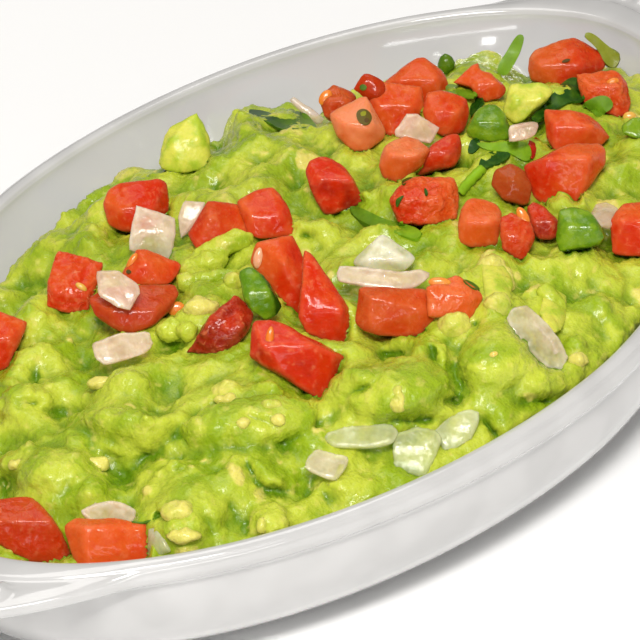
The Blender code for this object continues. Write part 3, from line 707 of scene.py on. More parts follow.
# by default the top of each piece is painted a little paler: painted light
usualTomato = {"ripe": 0.35, "pulp": 0.05, "deep": 6, "fade": ("top", 0.1), "dull": 0.0}
tomatoLooks = {  # ripe: 0 deep red, 0.25 red, 0.65 orange, 1 pale; fade: where it gets paler, how much, partly ripeness and partly painted light on the lit side
    "tomato_01": {"ripe": 0.4, "deep": 8, "pulp": 0.2, "corners": (
        (-7, 8, -3), (2, 6.7, -2), (6.6, 4.8, -2.5), (6, 3.4, -1.5), (4.9, 0, -0.5), (3.4, -3, -0.5),
        (0, -4, -0.5), (-8, -3, -1.5), (-9, 3, -2), (1, 2, 1.5))},
    "tomato_02": {"ripe": 0.4, "pulp": 1.0, "corners": (
        (-2, 6.2, -3), (6, 4, -2.5), (4.5, 1, -1), (-3.7, 1, 0), (-3.8, -3.5, 0), (-0.3, -4.6, 0.3),
        (3.6, -4, 0), (0, -1, 1.8))},
    "tomato_03": {"dull": 0.4, "ripe": 0.32, "deep": 7, "pulp": 0.15, "corners": (
        (-8.6, 2.6, -1.5), (-7.5, -0.3, -0.5), (-3.5, -2.7, 0.3), (-0.8, -3.1, 0.8), (2.5, -1.8, 0.5),
        (5, 0.3, -0.8), (6.8, 3.4, -2.5), (6.2, 5, -4), (0.3, 5, -3), (-6, 4.5, -3.5), (-1, 0.8, 1.6))},
    "tomato_04": {"ripe": 0.45, "deep": 5, "pulp": 0.1, "corners": (
        (-5.9, -0.8, -0.5), (-3.1, 3.5, -1.8), (-1.6, 3.5, -2), (4.6, 1, -2.5), (4, -0.8, -1.5),
        (2.7, -2.5, 0), (-1.6, -2.6, 1), (-4.8, -1.6, 0.5), (-1.7, 1.5, 0.8))},
    "tomato_05": {"ripe": 0.34, "deep": 7, "fade": ("left", 0.5), "corners": (
        (-3, 5.5, -3), (-5, 4.3, -2.2), (-5.7, 2, -1.2), (-4.9, -1.8, -1.2), (-2.6, -2.9, -0.8),
        (0.5, -3.2, 0), (0, 5.4, -2), (4, 6.3, -3.5), (5.3, 5.6, -3.8), (6, 0.8, -3), (4, -3, -2),
        (-0.3, 1, 1.2))},
    "tomato_06": {"dull": 0.15, "ripe": 0.4, "fade": ("right", 0.2), "corners": (
        (-3.9, -1.2, -1.2), (-0.4, 4.6, -2.5), (2.4, 4, -3), (6.5, 3.8, -3.5), (7, -1, -1), (3.4, -2, 0.2),
        (0, -3.4, 1), (-1.3, -4.9, 0.4), (0.1, 2, 0.4))},
    "tomato_07": {"ripe": 0.4, "fade": ("left", 0.15), "corners": (
        (-6, 3, -2), (-2.5, 5, -2.8), (0.2, 5.5, -3), (1.5, 4.4, -2.4), (3, 2, -1.6), (4.1, -1.6, -1.2),
        (3.6, -3, 0), (-1.8, -3.7, 0.8), (-4, -3, 0.3), (-0.8, 0.5, 1.2))},
    "tomato_08": {"ripe": 0.46, "fade": ("left", 0.5), "corners": (
        (-3.9, 5.2, -1.2), (-0.5, 6, -1.5), (2.3, 6.6, -3), (3.6, 3.9, -2.8), (6, -2.6, -0.8),
        (4.6, -8, -0.4), (1, -5.4, 0.4), (-3.3, 0, -0.5), (-5.1, 1.9, -1.5), (0.8, 1.5, 1.4),
        (3, -2.5, 1.2))},
    "tomato_09": {"ripe": 0.3, "pulp": 0.12, "corners": (
        (-3, 8.8, -3), (-1.5, 7.6, -3), (0.5, 3.8, -2), (3, 1.1, -1.6), (4.6, -1.3, -1.8),
        (4.8, -3.3, -1.8), (3.9, -7.2, -1.8), (1.8, -7.1, -0.4), (-2.6, -5.5, 0), (-4, -2.5, 0.4),
        (-3.6, 2, 0.2), (1.2, -1.5, 1.3))},
    "tomato_10": {"ripe": 0.24, "fade": ("right", 0.12), "corners": (
        (-7.3, 7.3, -3.2), (-3.6, 7.3, -3), (-3.3, 0.4, 1), (-7.9, 1.2, -1.4), (8.1, 1.3, -3.2),
        (4.9, -6.1, -2.2), (3.4, -5.9, -1.4), (-2.4, -1.6, 0.6), (-3.4, 3.2, 1.5), (6.4, 1.5, -0.6))},
    "tomato_11": {"dull": 0.15, "ripe": 0.0, "pulp": 0.9, "corners": (
        (-4.9, -3.8, -2), (-3, -1, -0.8), (-1, 2.2, -0.5), (2, 4.6, -1), (3.2, 6.1, -2), (5, 5, -2.2),
        (6.6, 2.7, -1.8), (6, 0, -0.8), (3.7, -2.5, 0), (0.6, -4, 0.2), (2, 0.5, 1.5))},
    "tomato_12": {"ripe": 0.14, "deep": 7, "corners": (
        (-5.1, 2.5, -2), (-4.4, 4.4, -3), (-2.3, 5.4, -3.8), (-0.6, 5, -3.8), (1.7, 3.7, -3.2),
        (3.5, 1.2, -2), (4.9, -1.8, -2.2), (4.7, -2.9, -2.2), (2.5, -3.8, -1.6), (-0.3, -4.9, -1.2),
        (-1.8, -4.7, -1.2), (-4.2, 0, -0.2), (0.8, 1.3, 1))},
    "tomato_13": {"dull": 0.2, "ripe": 0.5, "pulp": 0.1, "corners": (
        (-7.5, 4.3, -2.8), (-8, -1.6, -1.8), (-6.6, -3.1, -0.6), (-4, -4, 0), (2.8, -4, -0.8),
        (5.6, -0.6, -1.4), (4.2, 4, -2.6), (-0.3, 4, -2), (-5.6, 2.6, 0.9), (0.5, 0.5, 1.2),
        (-5.6, -2.5, 0.8))},
    "tomato_14": {"ripe": 0.72, "deep": 5, "pulp": 0.45, "corners": (
        (-7.5, 2.5, 0), (-7, -2.4, 0.6), (-2.2, 4.5, -1.6), (-0.8, 3.4, -1.6), (1.8, 2, -1.6),
        (2.5, 0.6, -1.2), (0, -3.1, -0.4), (-0.8, -2.3, 0.2), (-3, -1.9, 0.6), (-3, 1, 1.1))},
    "tomato_15": {"ripe": 0.46, "deep": 7, "pulp": 1.0, "fade": ("right", 0.3), "corners": (
        (-5.8, 0.7, -1.2), (-4.5, 2.8, -2), (-1.6, 4.6, -3), (3.5, 4.7, -3), (5.4, 4.6, -3.2),
        (6.4, 1.5, -2.4), (5.8, -2.5, -1.6), (1.7, -3.4, 0), (-0.5, -3.6, 0.2), (-4.2, -3.1, -0.3),
        (-1.2, 1, 1.4), (2.4, 1, 1))},
    "tomato_16": {"ripe": 0.72, "corners": (
        (-3.8, 0, -0.6), (-3.3, 2.8, -2.2), (-2.5, 4.3, -3.2), (-1.4, 5, -3.7), (0.6, 4.7, -3.7),
        (2.8, 3.8, -3.2), (3.7, 2.5, -2.2), (3.9, 0.8, -1), (3.2, -3.3, -1.6), (-1.6, -3.7, -1),
        (-3.8, -3, -1.2), (0, 0.6, 1))},
    "tomato_17": {"dull": 0.15, "ripe": 0.36, "deep": 5, "pulp": 0.5, "corners": (
        (-3.4, 4, -1.2), (-1.4, 4.6, -1.6), (1.5, 3.6, -1.2), (2.7, 0.5, -0.8), (1.3, -3.1, -0.8),
        (0, -3.6, -0.5), (-3.1, -1.4, -0.2), (-3.5, 1, -0.2), (-0.6, 0.5, 0.9))},
    "tomato_18": {"dull": 0.15, "ripe": 0.02, "deep": 5, "pulp": 0.4, "corners": (
        (-3.4, 4.3, -1.2), (-2.3, 5.3, -1.8), (-0.7, 4.7, -1.4), (0.8, 2.7, -1.2), (2.8, 1.2, -1.2),
        (2.4, -0.3, -0.6), (1, -1.2, 0), (-1.4, -1, 0), (-3, 0.5, 0), (-1, 2, 1))},
    "tomato_19": {"dull": 0.65, "ripe": 0.5, "deep": 5, "corners": (
        (-5.2, 1.4, -1.2), (-4.6, 3.7, -1.8), (-1.8, 5.3, -2.4), (0.5, 4, -1.4), (1.9, 1, -0.8),
        (1.5, -1.9, -0.5), (0.4, -2.3, -0.2), (-3.2, -1.2, -0.2), (-1.5, 2, 0.7))},
    "tomato_20": {"ripe": 0.5, "deep": 8, "fade": ("right", 0.5), "corners": (
        (-8.3, 0.2, -2.4), (-8, -2.2, -1.8), (-6.8, -5.3, -1.4), (-4.4, -6.8, -1), (0, -6.5, 0),
        (1, -5.8, 0.2), (-0.9, 1.4, 1.8), (-0.5, 4.1, -2.4), (4.7, 4.2, -3.8), (5.7, 3.2, -3.6),
        (5.6, 0.5, -3), (3.5, -1.4, -1.8), (-6.8, 0.8, -1.2))},
    "tomato_21": {"ripe": 0.5, "deep": 7, "fade": ("right", 0.2), "corners": (
        (-5.3, 5.7, -3), (-1.2, 5.6, -2), (1.9, 4.8, -3), (4.3, 3.3, -3), (6.4, 0.8, -2.4),
        (4.8, -0.7, -1.2), (0, -2, -0.2), (-3.4, -2.2, 0.2), (-5.1, 0.8, -1), (-1.3, 2.5, 1.3))},
    "tomato_22": {"ripe": 0.5, "pulp": 0.9, "corners": (
        (-5.3, 3.6, -2), (1.8, 4.4, -2.6), (3.9, 2.2, -2.2), (4.2, -1, -1.8), (4, -3.4, -1.4),
        (1.8, -4, -0.6), (-0.6, -0.9, 0.3), (-4, -1.5, -0.3), (-3.8, 1.3, -0.3), (0.4, 1.4, 1))},
    "tomato_23": {"dull": 0.1, "ripe": 0.5, "deep": 8, "fade": ("left", 0.6), "corners": (
        (-7.4, 1, -1.8), (-6.9, 3.3, -2.4), (-5.9, 4.6, -3), (-2.4, 5.9, -2.8), (0.9, 6.9, -4),
        (2.6, 6.1, -4), (6.5, 3.8, -4), (6.3, 1.2, -3), (3, -0.9, -1), (-2.6, -2.3, 0), (-4.3, -1.4, -0.2),
        (-6.9, -0.9, -1.2), (-3, 1.5, 1.2), (1.3, 4, -0.4))},
    "tomato_24": {"ripe": 0.5, "deep": 4.5, "pulp": 0.1, "corners": (
        (0.3, 2.2, -1.6), (2.2, 2, -2), (5, -0.4, -1.6), (5.2, -1.3, -1.2), (4.2, -2.8, -0.7),
        (1.3, -3.3, -0.2),
        (-0.4, -2, 0.2), (-1.4, 0, -0.2), (2, 0, 0.8)), "more": (
        ((-3.3, 0.9, -1.2), (-1.1, 3.2, -1.6), (0.2, 3.8, -2), (0.6, 1.5, -1), (-1.5, -0.6, -0.2),
        (-4.6, 0.1, -1)),)},
    "tomato_25": {"ripe": 0.46, "deep": 7, "corners": (
        (-5.8, 1.7, -1.4), (-3.5, 3.1, -2), (-1.3, 5.2, -2.6), (0, 6.2, -3), (1.4, 6.4, -3),
        (2.8, 4.9, -2.4), (4.7, 3.7, -2.4), (5.7, 1.6, -2), (4.5, -3.4, -1), (-2.5, -4, -0.4),
        (-5.4, -1, -1), (1, 2.2, 0.8))},
    "tomato_26": {"ripe": 0.44, "deep": 7, "pulp": 0.15, "corners": (
        (-4.6, 0.5, -0.3), (-4, 4, -1.8), (-1.5, 4.5, -2.4), (3.2, 3, -2.4), (3.6, 0.5, -2),
        (2.4, -3, -1.4), (-1, -3.7, -0.3), (-3.3, -2.5, 0.2), (-0.5, 0.6, 1.3))},
    "tomato_27": {"dull": 0.15, "ripe": 0.18, "pulp": 0.15, "corners": (
        (-5.7, -3, -0.8), (-3.9, 1, -0.4), (-2.4, 2.8, -0.9), (0.3, 4.5, -1.4), (2, 4.7, -1.8),
        (2.7, 2.5, -1.8), (2.6, 0.8, -1.4), (1.5, -0.9, -0.8), (-2.8, -1.7, -0.2), (-0.5, 1.3, 1))},
    "tomato_28": {"ripe": 0.5, "pulp": 0.1, "corners": (
        (-5.2, 4.2, -1.6), (-2, 5, -2.2), (4.6, 4.2, -1.8), (5.2, 0, -1), (3, -3, -0.5), (0.6, -4.6, 0),
        (-1.6, -4.6, -0.3), (-4.2, -1, -0.3), (0, 0.6, 0.9))},
    "tomato_29": {"dull": 0.3, "ripe": 0.5, "deep": 5, "pulp": 0.5, "corners": (
        (-3.6, 1, -0.8), (-3.1, 2.4, -1.4), (-1, 4.3, -2.2), (1.5, 3.3, -2.2), (3, 2.5, -2.2),
        (3, -1, -1.2), (0, -2.6, -0.2), (-2.8, -1.6, -0.3), (-0.5, 1, 0.9))},
    "tomato_30": {"ripe": 0.98, "corners": (
        (-3.9, 2.1, -1.8), (-3.1, 0.5, -1.2), (1.7, 5.3, -3.2), (2.8, 5.4, -3.2), (4.4, 1.8, -1.8),
        (6.1, -1, -1.8), (5.6, -2.3, -1.8), (3, -4.1, -1.3), (0.4, -4.3, -1.1), (-2.7, -1.5, -0.8),
        (0.6, 0.4, 1.3), (3, -0.8, 0.8))},
    "tomato_31": {"ripe": 0.68, "fade": ("top", 0.5), "corners": (
        (-1.6, 1.2, -1.8), (0, 2.2, -2.8), (2.2, 2.9, -3.8), (4.4, 2.1, -3.8), (6.5, 0.5, -2.8),
        (5, -2.4, -2.1), (2.2, -4.4, -1.6), (0.2, -5.4, -1.8), (-1.9, -4.3, -1.8), (-2.5, -2.5, -1.1),
        (1.8, -0.7, 1))},
    "tomato_32": {"ripe": 0.34, "deep": 7, "fade": ("top", 0.3), "corners": (
        (-5.3, 2.3, -0.8), (-3.1, 5.3, -3.4), (0, 5.8, -3.9), (4.5, 4.5, -4.4), (4.8, 1, -2), (4, -3.6, -2),
        (-2.6, -3.7, -1), (-5.1, -3.4, -1.3), (-1, 2.2, 0.8))},
    "tomato_33": {"dull": 0.3, "ripe": 0.3, "deep": 7, "pulp": 0.35, "corners": (
        (-8.5, 6, -2.6), (-1.3, 6.9, -3.4), (1, 6.7, -3.4), (3.5, 4.3, -2.4), (5.8, 1.3, -1.4),
        (7.8, -2.8, -1.4), (5.8, -4, -0.9), (0.6, -3.9, -0.4), (-1, -1.6, 0), (-7, 0.8, 0), (0, 3, 1.3),
        (-9.5, 3.5, -1.6))},
    "tomato_34": {"ripe": 0.6, "deep": 7, "fade": ("left", 0.25), "corners": (
        (-7.9, 4.1, -2.8), (-6.2, 5.3, -3.8), (-3, 5.3, -3), (-7.2, 0.5, -2.4), (-5.2, -4, -1.2),
        (5.7, 4.5, -2.4), (5.8, -4, -2.2), (0, 5.3, -3.4), (-4.6, 4, 0), (-3.6, -4, 0.2), (5, 3.6, -1.4))},
}
tomatoLooks |= {  # these lie mostly out of the viewer's sight
    "tomato_36": {"ripe": 0.3, "corners": (
        (-1.5, 3, -2), (2, 4, -2.5), (6, 2, -2), (6, -2.5, -1), (2, -4, 0), (-1, -2, 0), (2, 0, 1))},
    "tomato_37": {"ripe": 0.4, "corners": (
        (0, 3, -2), (3, 4, -2.5), (6, 2, -2), (6.5, -2, -1), (3, -4, 0), (0.5, -2.5, 0), (2.5, 0.5, 1))},
}
sliceLooks = {  # the pale, green and yellow pieces; thick: how far each goes back
    "onion_01": {"blush": 0.75, "corners": (
        (-2.9, 4, -1.5), (1.3, 2.5, -1), (4, 1.7, -1.2), (4.1, -0.8, -0.5), (3.4, -5.8, 0), (-4.2, -4, 0.5),
        (-3.9, -1.3, 0.5), (0, -0.5, 0.8))},
    "onion_02": {"thick": 2.2, "blush": 0.9, "corners": (
        (-1.8, 3.1, -0.5), (2.2, 2.8, -0.5), (1, 0, 0.2), (-0.5, -2.2, 0.3), (-2.3, -3.9, 0.2),
        (-2.9, 0, 0))},
    "onion_03": {"thick": 2.6, "blush": 1.0, "corners": (
        (-3.9, 1.8, -1), (0, 1.9, -1.2), (3.6, -0.6, -0.8), (3.8, -2, 0), (2.1, -5.1, 0.8),
        (-0.2, -4.5, 0.9), (-3.5, -2.5, 0.4))},
    "onion_04": {"thick": 2.4, "blush": 0.95, "corners": (
        (-5.5, 1.2, -0.3), (-0.9, 3.1, -1.2), (4.5, 3.3, -2), (5.1, 1, -1.6), (3.9, -0.5, -0.6),
        (0.5, -1.6, 0.3), (-3.2, -2.7, 0.9), (-5, -1.3, 0.8))},
    "onion_05": {"thick": 3.5, "blush": 0.0, "corners": (
        (-0.3, 3.3, -2.2), (0.8, 3, -2.2), (5.7, -0.7, -1.6), (5.1, -1.9, -1), (3.8, -3.2, -0.5),
        (-2.2, -3.3, 0), (-5, -2.1, -1), (-5, -1.2, -1.5), (0.2, -1, 1.1))},
    "onion_06": {"thick": 2.4, "blush": 0.8, "corners": (
        (-8.3, 2.7, -1.4), (-7.8, 3.8, -1.7), (-4.3, 3.6, -1), (-4.2, 0.3, 0.5), (-8.1, 1, -0.6)), "more": (
        ((-4.8, 3.7, -1.1), (-1, 2.8, -0.6), (3, 2.7, -0.6), (3, -0.7, 0.7), (-0.8, -0.4, 0.9),
        (-4.6, 0.4, 0.5)), ((2.4, 2.6, -0.6), (5.9, 3.2, -1.2), (7.8, 2.5, -1.6), (7.6, 1.5, -1),
        (5.9, 0.1, -0.2), (2.6, -0.7, 0.7)))},
    "onion_07": {"thick": 2.5, "blush": 1.3, "corners": (
        (-4.2, -0.9, 0), (-2, 2.3, -1.2), (-0.2, 2.4, -1.3), (4, -0.3, -1), (2.5, -3.2, 0.3),
        (-4.1, -2, 0.5))},
    "onion_08": {"thick": 2, "blush": 1.2, "corners": (
        (-2.7, 0.9, -0.3), (2.2, 1.7, -0.8), (2.9, 1, -0.5), (2, -1.1, 0), (0.3, -1.9, 0.3),
        (-2.7, -2.2, 0.4))},
    "onion_09": {"thick": 2, "blush": 0.9, "greenish": 0.25, "corners": (
        (-4.8, 3.9, -0.5), (-3.5, 6.1, -1.6), (-0.8, 6.3, -2), (1.2, 4.6, -1.7), (4.6, 0.8, -1),
        (6, -2.5, -0.3), (5, -4.7, 0.3), (2.4, -4.4, 0.5), (-1.8, -0.9, 0.5), (-4, 2.6, 0.2))},
    "onion_10": {"thick": 2.4, "blush": 0.2, "greenish": 0.7, "corners": (
        (-7, 1.5, -0.6), (-6.3, 2.6, -1.2), (-3.6, 3.6, -1.6), (0, 3.9, -1.6), (4.6, 4.1, -1.6),
        (5.8, 2.6, -1), (4.8, 0.7, 0), (1.7, 0, 0.5), (-1.3, 0, 0.5), (-5.3, 0, 0.1))},
    "onion_11": {"thick": 2.4, "blush": 0.0, "greenish": 0.95, "corners": (
        (-5.3, 4.3, -1.2), (-1.4, 5.4, -1.6), (1.6, 4.8, -1.6), (2.8, 3.3, -1), (1.8, 0.6, -0.2),
        (0, -3.2, 0.5), (-1, -3.2, 0.5), (-5.4, -1.5, 0.2), (-5.8, 2, -0.4))},
    "onion_12": {"thick": 2.4, "blush": 0.15, "greenish": 0.75, "corners": (
        (-5.5, -0.6, -0.6), (-2.5, 1.9, -1.4), (0.4, 3, -1.6), (2.5, 2.7, -1.6), (2.4, 0.6, -1),
        (1.3, -2, -0.4), (-1.6, -3.8, 0.4), (-3.6, -4.1, 0.5), (-4, -2.4, 0.1))},
    "onion_13": {"thick": 2.4, "blush": 0.7, "greenish": 0.4, "corners": (
        (-4.7, 1.2, 0.1), (-4.5, 2.6, -0.4), (-2.8, 4.4, -1.2), (2.8, 3, -1.2), (2.6, 1.4, -0.6),
        (0.7, -1.1, 0.4), (-0.4, -1, 0.5), (-3.8, 0.3, 0.4))},
    "onion_14": {"thick": 2.2, "blush": 1.0, "corners": (
        (-5.9, 2.2, -0.2), (-3.7, 3.4, -1.2), (-1.2, 4, -1.7), (1, 3.7, -1.7), (3.8, 2.4, -1.7),
        (3.5, 0.5, -0.6), (1, -0.4, 0.2), (-1.7, -1, 0.5), (-3.4, -0.5, 0.4))},
    "pepper_01": {"skin": "right", "corners": (
        (-3.9, 4.1, -1.8), (-2, 5, -1.8), (0, 3.7, -1.8), (2, 1.2, -1.6), (3.6, -1.8, -1.4),
        (2.6, -3.6, -0.8), (0.8, -4.3, -0.2), (-1.6, -2.9, 0.4), (-3.1, -0.5, 0.2), (-0.4, 0.4, 1.3))},
    "pepper_02": {"thick": 4.5, "skin": "down", "corners": (
        (-4.7, -2, -1.2), (-4.4, -0.3, -1.2), (-2.7, 2.3, -1.8), (-1, 3.3, -2.2), (0.8, 3, -2),
        (2, 1.8, -1.4), (2.7, -0.4, -0.8), (3.4, -2, -0.8), (2.5, -3.1, -0.2), (0, -3.6, 0),
        (-3, -3.2, -0.4), (-1, 0, 1.3))},
    "pepper_03": {"thick": 4.5, "skin": "down", "corners": (
        (-5.4, 7, -1.8), (-2.8, 7.6, -2.2), (0, 6.8, -2.2), (1.8, 4.3, -1.8), (2.7, 2.4, -1.3),
        (1.6, 1.1, -0.7), (-0.4, 0.6, -0.2), (-5.2, -0.2, -0.6), (-5.9, 1.8, -0.7), (-4.7, 4, -0.2),
        (-1.5, 4, 0.9))},
    "pepper_04": {"corners": (
        (-3.4, 0.4, -1), (-1, 1.9, -1.2), (3, 1.8, -1.2), (3, -2, 0), (-1, -1.9, 0.3), (-3.2, -1, 0))},
    "avocado_01": {"thick": 5, "corners": (
        (2.3, 7.2, -1.8), (1.2, 6.4, -2.2), (-2.3, 4.5, -2.2), (-3.5, 2.5, -1.8), (-4.7, -1.8, -1.2),
        (-4, -3.1, -0.7), (0, -3.9, 0.3), (4.5, -3, -0.3), (5, 0, -1.2), (4.5, 2, -1.7), (3.6, 5, -1.7),
        (0.5, 2, 1.2), (-1.5, -0.5, 1))},
    "avocado_02": {"thick": 5, "corners": (
        (-2.6, 3.8, -2.4), (3, 4.1, -2.8), (4.9, 2.6, -1.8), (4.5, 1.5, -1.3), (1.7, -1, -0.3),
        (0, -2.3, 0), (-1.8, -3.1, -0.2), (-4, -1.3, -0.8), (-3.4, 1.8, -1.3), (0.5, 1.2, 0.8))},
}


def sightPoint(right, up):  # millimetres from the middle of the guacamole, on the plane that faces the viewer
    return mashMiddle + (right * seenRight + up * seenUp) * mm


def landing(tree, right, up):  # where the line of sight through this point meets the surfaces in the tree
    through = Vector(sightPoint(right, up))
    eye = Vector(viewSettings["place"])
    spot, *_ = tree.ray_cast(eye, (through - eye).normalized())
    return np.array(spot or through)


def seenPlace(points):  # the right and up of each point as the viewer sees it
    eye = np.array(viewSettings["place"])
    lines = points - eye
    share = ((mashMiddle - eye) @ seenOut) / (lines @ seenOut)
    flat = (eye + lines * share[:, None] - mashMiddle) / mm
    return np.stack([flat @ seenRight, flat @ seenUp], 1)


def middleOf(node):
    low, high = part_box(node)
    return np.array((low + high) / 2)


def fromSight(node, spots):  # millimetres right, up and out from the middle of the node, to metres
    spots = np.asarray(spots, float) * mm
    return middleOf(node) + spots[:, :1] * seenRight + spots[:, 1:2] * seenUp + spots[:, 2:3] * seenOut


def addHull(bm, points):  # the smallest skin round these points, added to what bm holds
    made = bmesh.new()
    for point in points:
        made.verts.new(point)
    found = bmesh.ops.convex_hull(made, input=made.verts)
    unused = found["geom_interior"] + found["geom_unused"]
    loose = {item for item in unused if isinstance(item, bmesh.types.BMVert)}
    bmesh.ops.delete(made, geom=list(loose), context="VERTS")
    bmesh.ops.recalc_face_normals(made, faces=made.faces)
    mesh = meshFrom(made, "skin")
    bm.from_mesh(mesh)
    bpy.data.meshes.remove(mesh)


def ridged(corners):  # spreads the most raised corner sideways into a short edge
    corners = np.array(corners, float)
    peak = corners[:, 2].argmax()
    rivals = corners[:, 2] > toppingCut["peakRival"] * corners[peak, 2]
    if corners[peak, 2] < toppingCut["peakLeast"] or rivals.sum() > 1:
        return corners
    top = corners[peak]
    reaches = corners[:, 0].min(), corners[:, 0].max()
    wide, low = toppingCut["peakReach"], toppingCut["peakLow"]
    ends = [(top[0] + (reach - top[0]) * wide, top[1], top[2] * low) for reach in reaches]
    return np.concatenate([np.delete(corners, peak, 0), ends])


def cutShape(node, groups, deep):  # one closed chopped piece; each group is a skin round its corners
    size = toppingCut
    bm = bmesh.new()
    for corners in groups:
        corners = ridged(corners)
        back = corners * (size["backScale"], size["backScale"], 1) - (0, size["backDrop"] * deep, deep)
        addHull(bm, fromSight(node, np.concatenate([corners, back])))
    return meshFrom(bm, node)


def nodeShape(node):  # a copy of the node's own mesh, closed
    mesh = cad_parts[node].data.copy()
    bm = bmesh.new()
    bm.from_mesh(mesh)
    bmesh.ops.remove_doubles(bm, verts=bm.verts, dist=0.001 * mm)
    bm.to_mesh(mesh)
    bm.free()
    return mesh


def refine(piece, cell, rounding):  # even faces and softened edges
    voxelled(piece, cell)
    edges = edgesOf(piece.data)
    movePoints(piece.data, relaxed(pointsOf(piece.data), edges, rounding))


def roughen(mesh, *layers):  # each layer: height and size in millimetres, shift
    points = pointsOf(mesh)
    normals = normalsOf(mesh)
    rough = sum(noiseAt(points, size * mm, shift) * height for height, size, shift in layers)
    movePoints(mesh, points + normals * (rough * mm)[:, None])


def facing(mesh, direction, low=0.5, high=0.85):  # 1 where the surface looks this way
    along = normalsOf(mesh) @ np.array(direction.normalized())
    share = np.clip((along - low) / (high - low), 0, 1)
    return share * share * (3 - 2 * share)


def across(mesh, direction):  # 0 at one end of the piece, 1 at the end that lies this way
    along = pointsOf(mesh) @ np.array(direction.normalized())
    return (along - along.min()) / max(along.max() - along.min(), 1e-9)


def edgesSharp(mesh):  # 1 along the cut edges
    points = pointsOf(mesh)
    off = points - relaxed(points, edgesOf(mesh), toppingCut["edgeRounds"])
    return np.clip((off * normalsOf(mesh)).sum(1) / (toppingCut["edgeHeight"] * mm) - 0.5, 0, 1)


def toppingPiece(node, look, deep):
    groups = (look["corners"], *look.get("more", ())) if "corners" in look else ()
    mesh = cutShape(node, groups, deep) if groups else nodeShape(node)
    piece = newPiece(node.replace("_", "Piece"), mesh)
    refine(piece, toppingCut["cell"], toppingCut["rounding"])
    return piece


pieceKinds = {  # finish and slot
    "tomato": ("tomato", "tomato"), "onion": ("onion", "onion"), "pepper": ("pepper", "green_pepper"),
    "avocado": ("chunk", "avocado_chunk"),
}


def dressPiece(piece, kind, node, masks):
    finish, slot = pieceKinds[kind]
    for label, values in masks.items():
        writeMask(piece.data, label, values)
    paintOver(piece.data, finishes[finish])
    hideSeams(piece)
    finishPiece(piece, slot, *([node] if node else []))
    toppingPieces.append(piece)


def makeTomatoes():
    nodes = [node for node in toppingNodes if node.startswith("tomato")]
    for count, node in enumerate(nodes):
        look = usualTomato | tomatoLooks.get(node, {})
        piece = toppingPiece(node, look, look["deep"])
        mesh = piece.data
        cut = toppingCut
        wet = np.clip(look["pulp"] + cut["wetTop"] * facing(mesh, upwards), 0, 1)
        roughen(mesh, (cut["swell"], cut["swellSize"], count),
                (cut["fine"] + cut["pulpFine"] * look["pulp"], cut["fineSize"], count))
        # painted light: faces turned up are painted paler, and the fade makes one side paler, partly ripeness
        # and partly painted light
        way, share = look["fade"]
        lit = (normalsOf(mesh) @ np.array(upwards) - cut["litFrom"]) * cut["litPaler"]
        ripe = look["ripe"] + (across(mesh, directions[way]) - 0.5) * share + lit
        masks = {"ripeness": ripe, "skin": 0.0, "pulp": wet, "rim": edgesSharp(mesh), "dull": look["dull"]}
        dressPiece(piece, "tomato", node, masks)
    print(len(nodes), "tomato pieces made")


def makeSlices():
    nodes = [node for node in toppingNodes if not node.startswith("tomato")]
    for count, node in enumerate(nodes):
        kind = node.split("_")[0]
        look = sliceLooks.get(node, {})
        piece = toppingPiece(node, look, look.get("thick", 3))
        broad, fine = lumpsOf[kind]
        roughen(piece.data, (broad, 3.0, count), (fine, 0.9, count))
        masks = {}
        if kind == "onion":
            masks = {"blush": look.get("blush", 0.3), "greenish": look.get("greenish", 0.0),
                     "rim": edgesSharp(piece.data)}
        if kind == "pepper":
            masks = {"skin": facing(piece.data, directions[look.get("skin", "down")], 0.3, 0.8)}
        dressPiece(piece, kind, node, masks)
    print(len(nodes), "onion, pepper and avocado pieces made")


toppingNodes = sorted(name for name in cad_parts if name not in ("dish", "guacamole"))
toppingPieces = []


mashSizes = {  # millimetres, with powers and counts
    "edgeDrop": 6, "nearDrop": 3.5, "farRise": 5, "crown": 6, "crownNear": 3, "domePower": 3.5,
    "unevenSize": 7.5, "unevenDepth": 5, "wallGap": 0.3, "sink": 0.9, "rings": 70, "around": 200,
    "rimTop": 25, "touchedFrom": 14, "sightReach": 6, "sightDepth": 0.35, "sightSlope": 4,
    "sideRings": 9, "skirtSteps": (9.5, 7.5, 6.2), "calmRounds": 60, "riseHeight": 2.6,
    "foldCell": 0.4, "foldRounds": 4, "foldRise": 0.55, "foldSink": 0.35,
    "cell": 0.63, "skirtTop": 11.5, "floor": 5.2,
}
swells = (  # x, y, half-length, half-width, turn, height
    (-28, -38, 10, 8, -20, 4.5), (-12, -47, 10, 7, 10, 3.0), (-22, -46, 7, 3, 30, -3.0),
    (-62, -1, 3, 9, 8, -3.5), (-70, -12, 6, 3, 10, -3.0), (-56, -4, 4, 9, 5, 2.5), (-69, 3, 7, 7, 0, 2.5),
    (-66, -23, 9, 6, 20, 2.5), (-76, 13, 3, 8, 20, -3.0), (-56, 18, 5, 5, 0, 2.0), (-51, 9, 2, 6, 0, -2.0),
    (-47, -22, 10, 5, -50, 2.0), (-40, -31, 8, 3, -30, -2.0), (-52, -35, 5, 3, 0, -2.5),
    (-38, 18, 4, 4, 0, -3.0), (-20, -33, 3, 7, -20, -2.5), (-3, -40, 5, 5, 0, 3.0), (6, 20, 14, 7, 10, 1.5),
    (27, 30, 9, 6, 20, 2.0), (12, -12, 4, 8, 0, -1.5), (-8, 42, 12, 5, 0, 1.5), (55, -34, 10, 8, 0, 2.0),
    (-22, 3, 6, 5, 0, 2.5), (35, -46, 5, 4, 0, -2.0),
)
